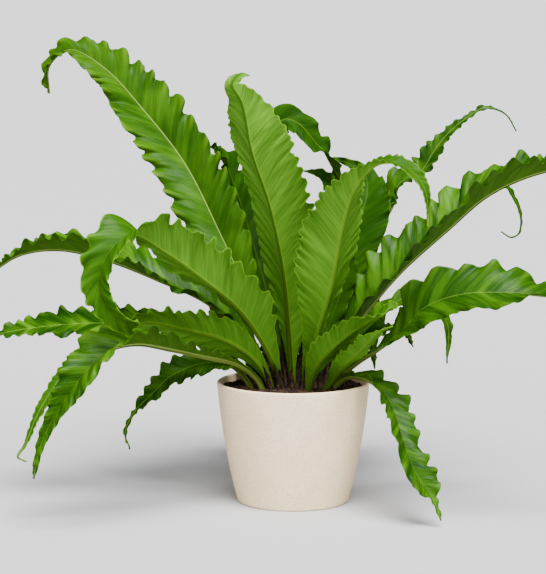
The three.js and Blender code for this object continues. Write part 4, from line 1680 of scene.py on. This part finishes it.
@dataclass
class Crown:
    """The rootstock: a low rough mound with brown scales, broad husks and stubs of old stalks.

    Attributes:
        centre: middle of its oval
        half_length: half its size from left to right
        half_depth: half its size from front to back
        brow: height of its edge
        top: height of its middle
        bottom: height of its foot, in the soil
        foot_share: size of its foot, as a share of the oval
        rings: rings of points on its upper face
        sides: steps round the oval
        relief: size and height of its lumps, from broad to fine
        relief_edge: steepness with which the lumps fade at its edge
        scales: the short papery scales
        husks: the broad husks of old stalk feet
        husk_shrink: share of their length that husks lose from the middle to the edge
        thicket: from where to where the denser husks on the left stand
        thicket_part: one husk in so many stands there
        thicket_depth: how far they are drawn together from front to back
        thicket_share: share of the oval that their lean and length go by
        thicket_rise: how much longer they are at most
        thicket_least: share of that growth that all of them have
        stubs: the dry stubs
        splinters: splinters of one stub
        splinter_scatter: random shift of a splinter's foot
        splinter_sunk: depth of its foot below the surface
        splinter_sway: random lean of a splinter, in degrees
        splinter_lengths: least and greatest share of the stub's length
        splinter_radii: least and greatest radius at the foot
        levels: places along a spike, as shares of its length
        taper: its radius there, as a share of that at its foot
        flatness: its thickness, as a share of its width
        bend: how far its middle is bent up, as a share of its length
        aslant: direction that its width lies square to
        bark: the mound's finish
        dry: the finish of the scales, husks and stubs
        seed: seed of the lumps and the scales
        husk_seed: what the husks add to it
        stub_seed: what the stubs add to it
    """

    centre: tuple[float, float] = (3.0, 11.0)
    half_length: float = 53.0
    half_depth: float = 38.0
    brow: float = 111.0
    top: float = 116.0
    bottom: float = 98.0
    foot_share: float = 0.8
    rings: int = 60
    sides: int = 180
    relief: tuple[tuple[float, float], ...] = ((7.0, 0.8), (2.5, 0.45))
    relief_edge: float = 6.0
    scales: Spikes = Spikes(
        count=420, reach=0.9, sunk=0.8, sway=0.55, outward=0.5, lengths=(3.0, 8.0), radii=(0.35, 0.8)
    )
    husks: Spikes = Spikes(
        count=155, reach=0.75, sunk=1.5, sway=0.16, outward=0.35, lengths=(18.0, 60.0), radii=(1.3, 3.6)
    )
    husk_shrink: float = 0.4
    thicket: tuple[float, float] = (-46.0, -22.0)
    thicket_part: int = 5
    thicket_depth: float = 0.6
    thicket_share: float = 0.2
    thicket_rise: float = 18.0
    thicket_least: float = 0.2
    stubs: tuple[Stub, ...] = (
        Stub(x=-5.0, y=3.0, length=20.0, lean=8.0, bearing=200.0),
        Stub(x=20.0, y=-6.0, length=17.0, lean=12.0, bearing=-20.0),
        Stub(x=5.0, y=5.0, length=9.0, lean=5.0, bearing=90.0),
        Stub(x=28.0, y=12.0, length=8.0, lean=10.0, bearing=10.0),
    )
    splinters: int = 9
    splinter_scatter: float = 0.8
    splinter_sunk: float = 1.0
    splinter_sway: float = 5.0
    splinter_lengths: tuple[float, float] = (0.55, 1.0)
    splinter_radii: tuple[float, float] = (0.6, 1.3)
    levels: tuple[float, ...] = (0.0, 0.35, 0.7, 1.0)
    taper: tuple[float, ...] = (1.0, 0.95, 0.6, 0.08)
    flatness: float = 0.45
    bend: float = 0.12
    aslant: tuple[float, float, float] = (0.3, 0.2, 1.0)
    bark: EarthFinish = EarthFinish(dark=(0.005, 0.003, 0.0015), light=(0.055, 0.028, 0.012), grain=300.0)
    dry: EarthFinish = EarthFinish(dark=(0.004, 0.0028, 0.001), light=(0.085, 0.036, 0.011), grain=200.0)
    seed: int = 21
    husk_seed: int = 8
    stub_seed: int = 3

    def height(self, x: Array, y: Array) -> Array:
        """The mound's height: a dome on its oval, with lumps that fade out at its edge.

        Args:
            x: places to the right
            y: places to the back
        Returns:
            the height at each place
        """
        cx, cy = self.centre
        share = np.hypot((x - cx) / self.half_length, (y - cy) / self.half_depth)
        dome = self.brow + (self.top - self.brow) * (1 - share**2)
        rough = 0.0
        for number, (size, height) in enumerate(self.relief):
            rough = rough + height * lumps(x, y, size, self.seed + number)
        return dome + rough * ease((1 - share) * self.relief_edge)

    def on_oval(self, share: Array, angle: Array) -> tuple[Array, Array]:
        """Places on the oval.

        Args:
            share: shares of the way from its middle to its edge
            angle: angles round it, in radians
        Returns:
            how far they lie to the right and to the back
        """
        x = self.centre[0] + share * self.half_length * np.cos(angle)
        y = self.centre[1] + share * self.half_depth * np.sin(angle)
        return x, y

    def build(self) -> list[bpy.types.Object]:
        """Makes the mound, turned from its profile and stretched to the oval, and all its spikes.

        Returns:
            the mound, the scales, the stubs and the husks
        """
        cx, cy = self.centre
        share = np.linspace(1.0, 0.0, self.rings)
        foot = [[0.0, self.bottom], [self.foot_share, self.bottom]]
        profile = np.vstack([foot, np.stack([share, np.full(self.rings, self.brow)], -1)])
        points, faces = turned(profile, self.sides)
        points[:, 0] = points[:, 0] * self.half_length + cx
        points[:, 1] = points[:, 1] * self.half_depth + cy
        up = points[:, 2] == self.brow
        points[up, 2] = self.height(points[up, 0], points[up, 1])
        mound = make_object("crown_mound", points, faces)
        bark, dry = self.bark.material("crown_bark"), self.dry.material("dry_scale")
        pieces = [mound, self._scales(), self._stubs(), self._husks()]
        for piece in pieces:
            piece.data.materials.append(bark if piece is mound else dry)
            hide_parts("crown")
        return pieces

    def _spikes(self, foot: Array, way: Array, radius: Array, name: str) -> bpy.types.Object:
        """Thin bent spikes that taper from foot to tip, each a flat ring of four points carried along.

        Args:
            foot: n by 3 places
            way: n by 3 ways from foot to tip
            radius: radius at each foot
            name: the object's name
        Returns:
            the joined spikes
        """
        side = np.cross(way, self.aslant)
        side /= np.linalg.norm(side, axis=1)[:, None]
        other = np.cross(way, side)
        other /= np.linalg.norm(other, axis=1)[:, None]
        levels = np.array(self.levels)
        sides = 4
        angle = np.arange(sides)[None, :, None] * math.tau / sides
        ring = np.cos(angle) * side[:, None] + self.flatness * np.sin(angle) * other[:, None]
        arch = np.sin(levels * math.pi)[None, :, None] * np.array([0.0, 0.0, self.bend])
        length = np.linalg.norm(way, axis=1)[:, None, None]
        spine = foot[:, None] + way[:, None] * levels[None, :, None] + arch * length
        width = radius[:, None] * np.array(self.taper)[None]
        points = spine[:, :, None] + ring[:, None] * width[..., None, None]
        near = np.arange(sides)
        caps = np.stack([near, near[::-1] + (len(levels) - 1) * sides])
        faces = np.vstack([grid_faces(len(levels), sides, closed=True)[:, ::-1], caps])
        numbers = faces[None] + np.arange(len(foot))[:, None, None] * len(levels) * sides
        return make_object(name, points.reshape(-1, 3), [numbers.reshape(-1, sides)])

    def _leaning(self, lean: Array, length: Array) -> Array:
        """The ways of spikes whose tips lie aside by lean to a height of 1, at their lengths."""
        way = np.concatenate([lean, np.ones((len(lean), 1))], axis=1)
        return way * (length / np.linalg.norm(way, axis=1))[:, None]

    def _scales(self) -> bpy.types.Object:
        """Brown papery scales that stand up at random all over the mound.

        Returns:
            the joined scales
        """
        rng = np.random.default_rng(self.seed)
        kind, count = self.scales, self.scales.count
        share = np.sqrt(rng.uniform(0.0, kind.reach, count))
        angle = rng.uniform(0.0, math.tau, count)
        x, y = self.on_oval(share, angle)
        foot = np.stack([x, y, self.height(x, y) - kind.sunk], -1)
        outward = kind.outward * np.stack([np.cos(angle), np.sin(angle)], -1)
        lean = rng.normal(0.0, kind.sway, (count, 2)) + outward
        way = self._leaning(lean, rng.uniform(*kind.lengths, count))
        return self._spikes(foot, way, rng.uniform(*kind.radii, count), "crown_scales")

    def _husks(self) -> bpy.types.Object:
        """Broad papery husks that stand between the stalks, tallest in the middle and on the left.

        Returns:
            the joined husks
        """
        rng = np.random.default_rng(self.seed + self.husk_seed)
        kind, count = self.husks, self.husks.count
        share = np.sqrt(rng.uniform(0.0, kind.reach, count))
        angle = rng.uniform(0.0, math.tau, count)
        x, y = self.on_oval(share, angle)
        dense = count // self.thicket_part
        x[:dense] = rng.uniform(*self.thicket, dense)
        y[:dense] = np.abs(y[:dense]) * self.thicket_depth
        share[:dense] = self.thicket_share
        foot = np.stack([x, y, self.height(x, y) - kind.sunk], -1)
        outward = kind.outward * share[:, None] * np.stack([np.cos(angle), np.sin(angle)], -1)
        lean = rng.normal(0.0, kind.sway, (count, 2)) + outward
        length = rng.uniform(*kind.lengths, count) * (1 - self.husk_shrink * share)
        length[:dense] += self.thicket_rise * rng.uniform(self.thicket_least, 1.0, dense)
        way = self._leaning(lean, length)
        return self._spikes(foot, way, rng.uniform(*kind.radii, count), "crown_husks")

    def _stubs(self) -> bpy.types.Object:
        """Dry stubs, each a bunch of splinters round the place of an old stalk.

        Returns:
            the joined splinters
        """
        rng = np.random.default_rng(self.seed + self.stub_seed)
        table = [(stub.x, stub.y, stub.length, stub.lean, stub.bearing) for stub in self.stubs]
        x, y, length, lean, bearing = np.repeat(np.array(table), self.splinters, axis=0).T
        count = len(x)
        x = x + rng.normal(0, self.splinter_scatter, count)
        y = y + rng.normal(0, self.splinter_scatter, count)
        lean = np.radians(lean + rng.normal(0, self.splinter_sway, count))
        bearing = np.radians(bearing)
        length = length * rng.uniform(*self.splinter_lengths, count)
        foot = np.stack([x, y, self.height(x, y) - self.splinter_sunk], -1)
        way = np.stack([np.sin(lean) * np.cos(bearing), np.sin(lean) * np.sin(bearing), np.cos(lean)], -1)
        radius = rng.uniform(*self.splinter_radii, count)
        return self._spikes(foot, way * length[:, None], radius, "crown_stubs")


@dataclass
class Foliage:
    """All the fronds, each dressed by its leafage; the SHADED ones take darker greens as painted shade.

    Attributes:
        shapes: the form of each frond, by its node's name
        first_seed: seed of the first frond's waves
        seed_step: from one frond's seed to the next
        marking_step: how far the leaf markings move on from one frond to the next
    """

    shapes: dict[str, FrondShape]
    first_seed: int = 100
    seed_step: int = 7
    marking_step: float = 3.7

    def build(self) -> list[bpy.types.Object]:
        """Makes each frond with its own copy of the leaf finish.

        Returns:
            the blades
        """
        veins = LeafVeins().group()
        pieces = []
        for number, (node, shape) in enumerate(self.shapes.items()):
            label = node.removeprefix("frond_")
            blade = Frond("blade_" + label, shape, self.first_seed + self.seed_step * number).build()
            finish = LEAF_FINISHES[shape.leafage]
            material = finish.material("leaf_" + label, veins, shape, self.marking_step * number)
            blade.data.materials.append(material)
            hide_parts(node)
            pieces.append(blade)
        return pieces


@dataclass
class Studio:
    """A plain pale floor in pale air, soft light and the photograph's camera.

    Attributes:
        long_side: the long side of the photograph's frame, in pixels
        focal_pixels: the lens's focal length, in the same pixels
        sensor: width of the camera's sensor
        eye: place of the camera
        tilt_down: angle that it looks down by, in radians
        floor_colour: the floor's colour
        floor_reflected: its colour in reflections
        floor_roughness: roughness of the floor
        floor_shine: strength of its reflections
        floor_reach: half the floor's size
        air_colour: colour of the air
        air: brightness that lights the plant
        air_reflected: brightness in reflections
        air_seen: brightness that the camera sees
    """

    long_side: int = 574
    focal_pixels: float = 2058.0
    sensor: float = 36.0
    eye: tuple[float, float, float] = (-19.86, -2000.0, 455.0)
    tilt_down: float = 0.121
    floor_colour: Colour = (0.442, 0.442, 0.453)
    floor_reflected: Colour = (0.03, 0.03, 0.03)
    floor_roughness: float = 0.9
    floor_shine: float = 0.1
    floor_reach: float = 60000.0
    air_colour: Colour = (0.98, 0.985, 1.0)
    air: float = 0.48
    air_reflected: float = 0.06
    air_seen: float = 1.72

    def build(self) -> None:
        """Makes the floor, the lights and the camera."""
        self._floor()
        self._light("key", bearing=-70.0, rise=67.0, spread=38.0, power=9.8)
        self._light("fill", bearing=-90.0, rise=30.0, spread=95.0, power=4.0)
        self._sky()
        self._camera()

    def _floor(self) -> None:
        """A wide flat floor, darker in reflections than to the eye."""
        corners = np.array([[-1.0, -1.0, 0.0], [1.0, -1.0, 0.0], [1.0, 1.0, 0.0], [-1.0, 1.0, 0.0]])
        floor = make_object("studio_floor", corners * self.floor_reach, [np.array([[0, 1, 2, 3]])])
        material, bench, shader = bare_material("studio_paper")
        glossy = bench.add("LightPath").outputs["Is Glossy Ray"]
        bench.feed(shader.inputs["Base Color"], bench.mix(glossy, self.floor_colour, self.floor_reflected))
        shader.inputs["Roughness"].default_value = self.floor_roughness
        shader.inputs["Specular IOR Level"].default_value = self.floor_shine
        floor.data.materials.append(material)

    def _light(self, name: str, bearing: float, rise: float, spread: float, power: float) -> None:
        """A distant soft light.

        Args:
            name: the light's name
            bearing: where it comes from
            rise: angle above the floor that it comes from
            spread: angle that it fills, which softens its shadows
            power: watts to a square metre
        """
        lamp = bpy.data.lights.new(name, "SUN")
        lamp.energy = power
        lamp.angle = math.radians(spread)
        light = bpy.data.objects.new(name, lamp)
        light.rotation_euler = (math.radians(90.0 - rise), 0.0, math.radians(bearing + 90.0))
        bpy.context.collection.objects.link(light)

    def _sky(self) -> None:
        """Even pale air, as bright as the floor to the eye, fainter in its light and reflections."""
        world = bpy.data.worlds.new("studio_air")
        world.use_nodes = True
        background = world.node_tree.nodes["Background"]
        bench = NodeBench(world.node_tree)
        rays = bench.add("LightPath").outputs
        lit = bench.blend(rays["Is Glossy Ray"], self.air, self.air_reflected)
        bench.feed(background.inputs["Color"], self.air_colour)
        bench.feed(background.inputs["Strength"], bench.blend(rays["Is Camera Ray"], lit, self.air_seen))
        bpy.context.scene.world = world

    def _camera(self) -> None:
        """The photograph's camera: the sensor's width spans the frame's long side."""
        data = bpy.data.cameras.new("camera")
        data.sensor_width = self.sensor
        data.lens = self.focal_pixels * self.sensor / self.long_side
        camera = bpy.data.objects.new("camera", data)
        camera.location = [value * MM for value in self.eye]
        camera.rotation_euler = (math.pi / 2 - self.tilt_down, 0.0, 0.0)
        bpy.context.collection.objects.link(camera)
        bpy.context.scene.camera = camera


def main() -> None:
    """Builds the pot, soil, crown and fronds on the frame, and the studio round them."""
    logging.basicConfig(level=logging.INFO, format="%(name)s: %(message)s")
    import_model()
    pot = Pot()
    pieces = [pot.build(), *Soil(pot).build(), *Crown().build(), *Foliage(FRONDS).build()]
    for piece in pieces:
        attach(piece, BODY)
        log.info("%s: %d faces", piece.name, len(piece.data.polygons))
    Studio().build()


if __name__ == "__main__":
    main()
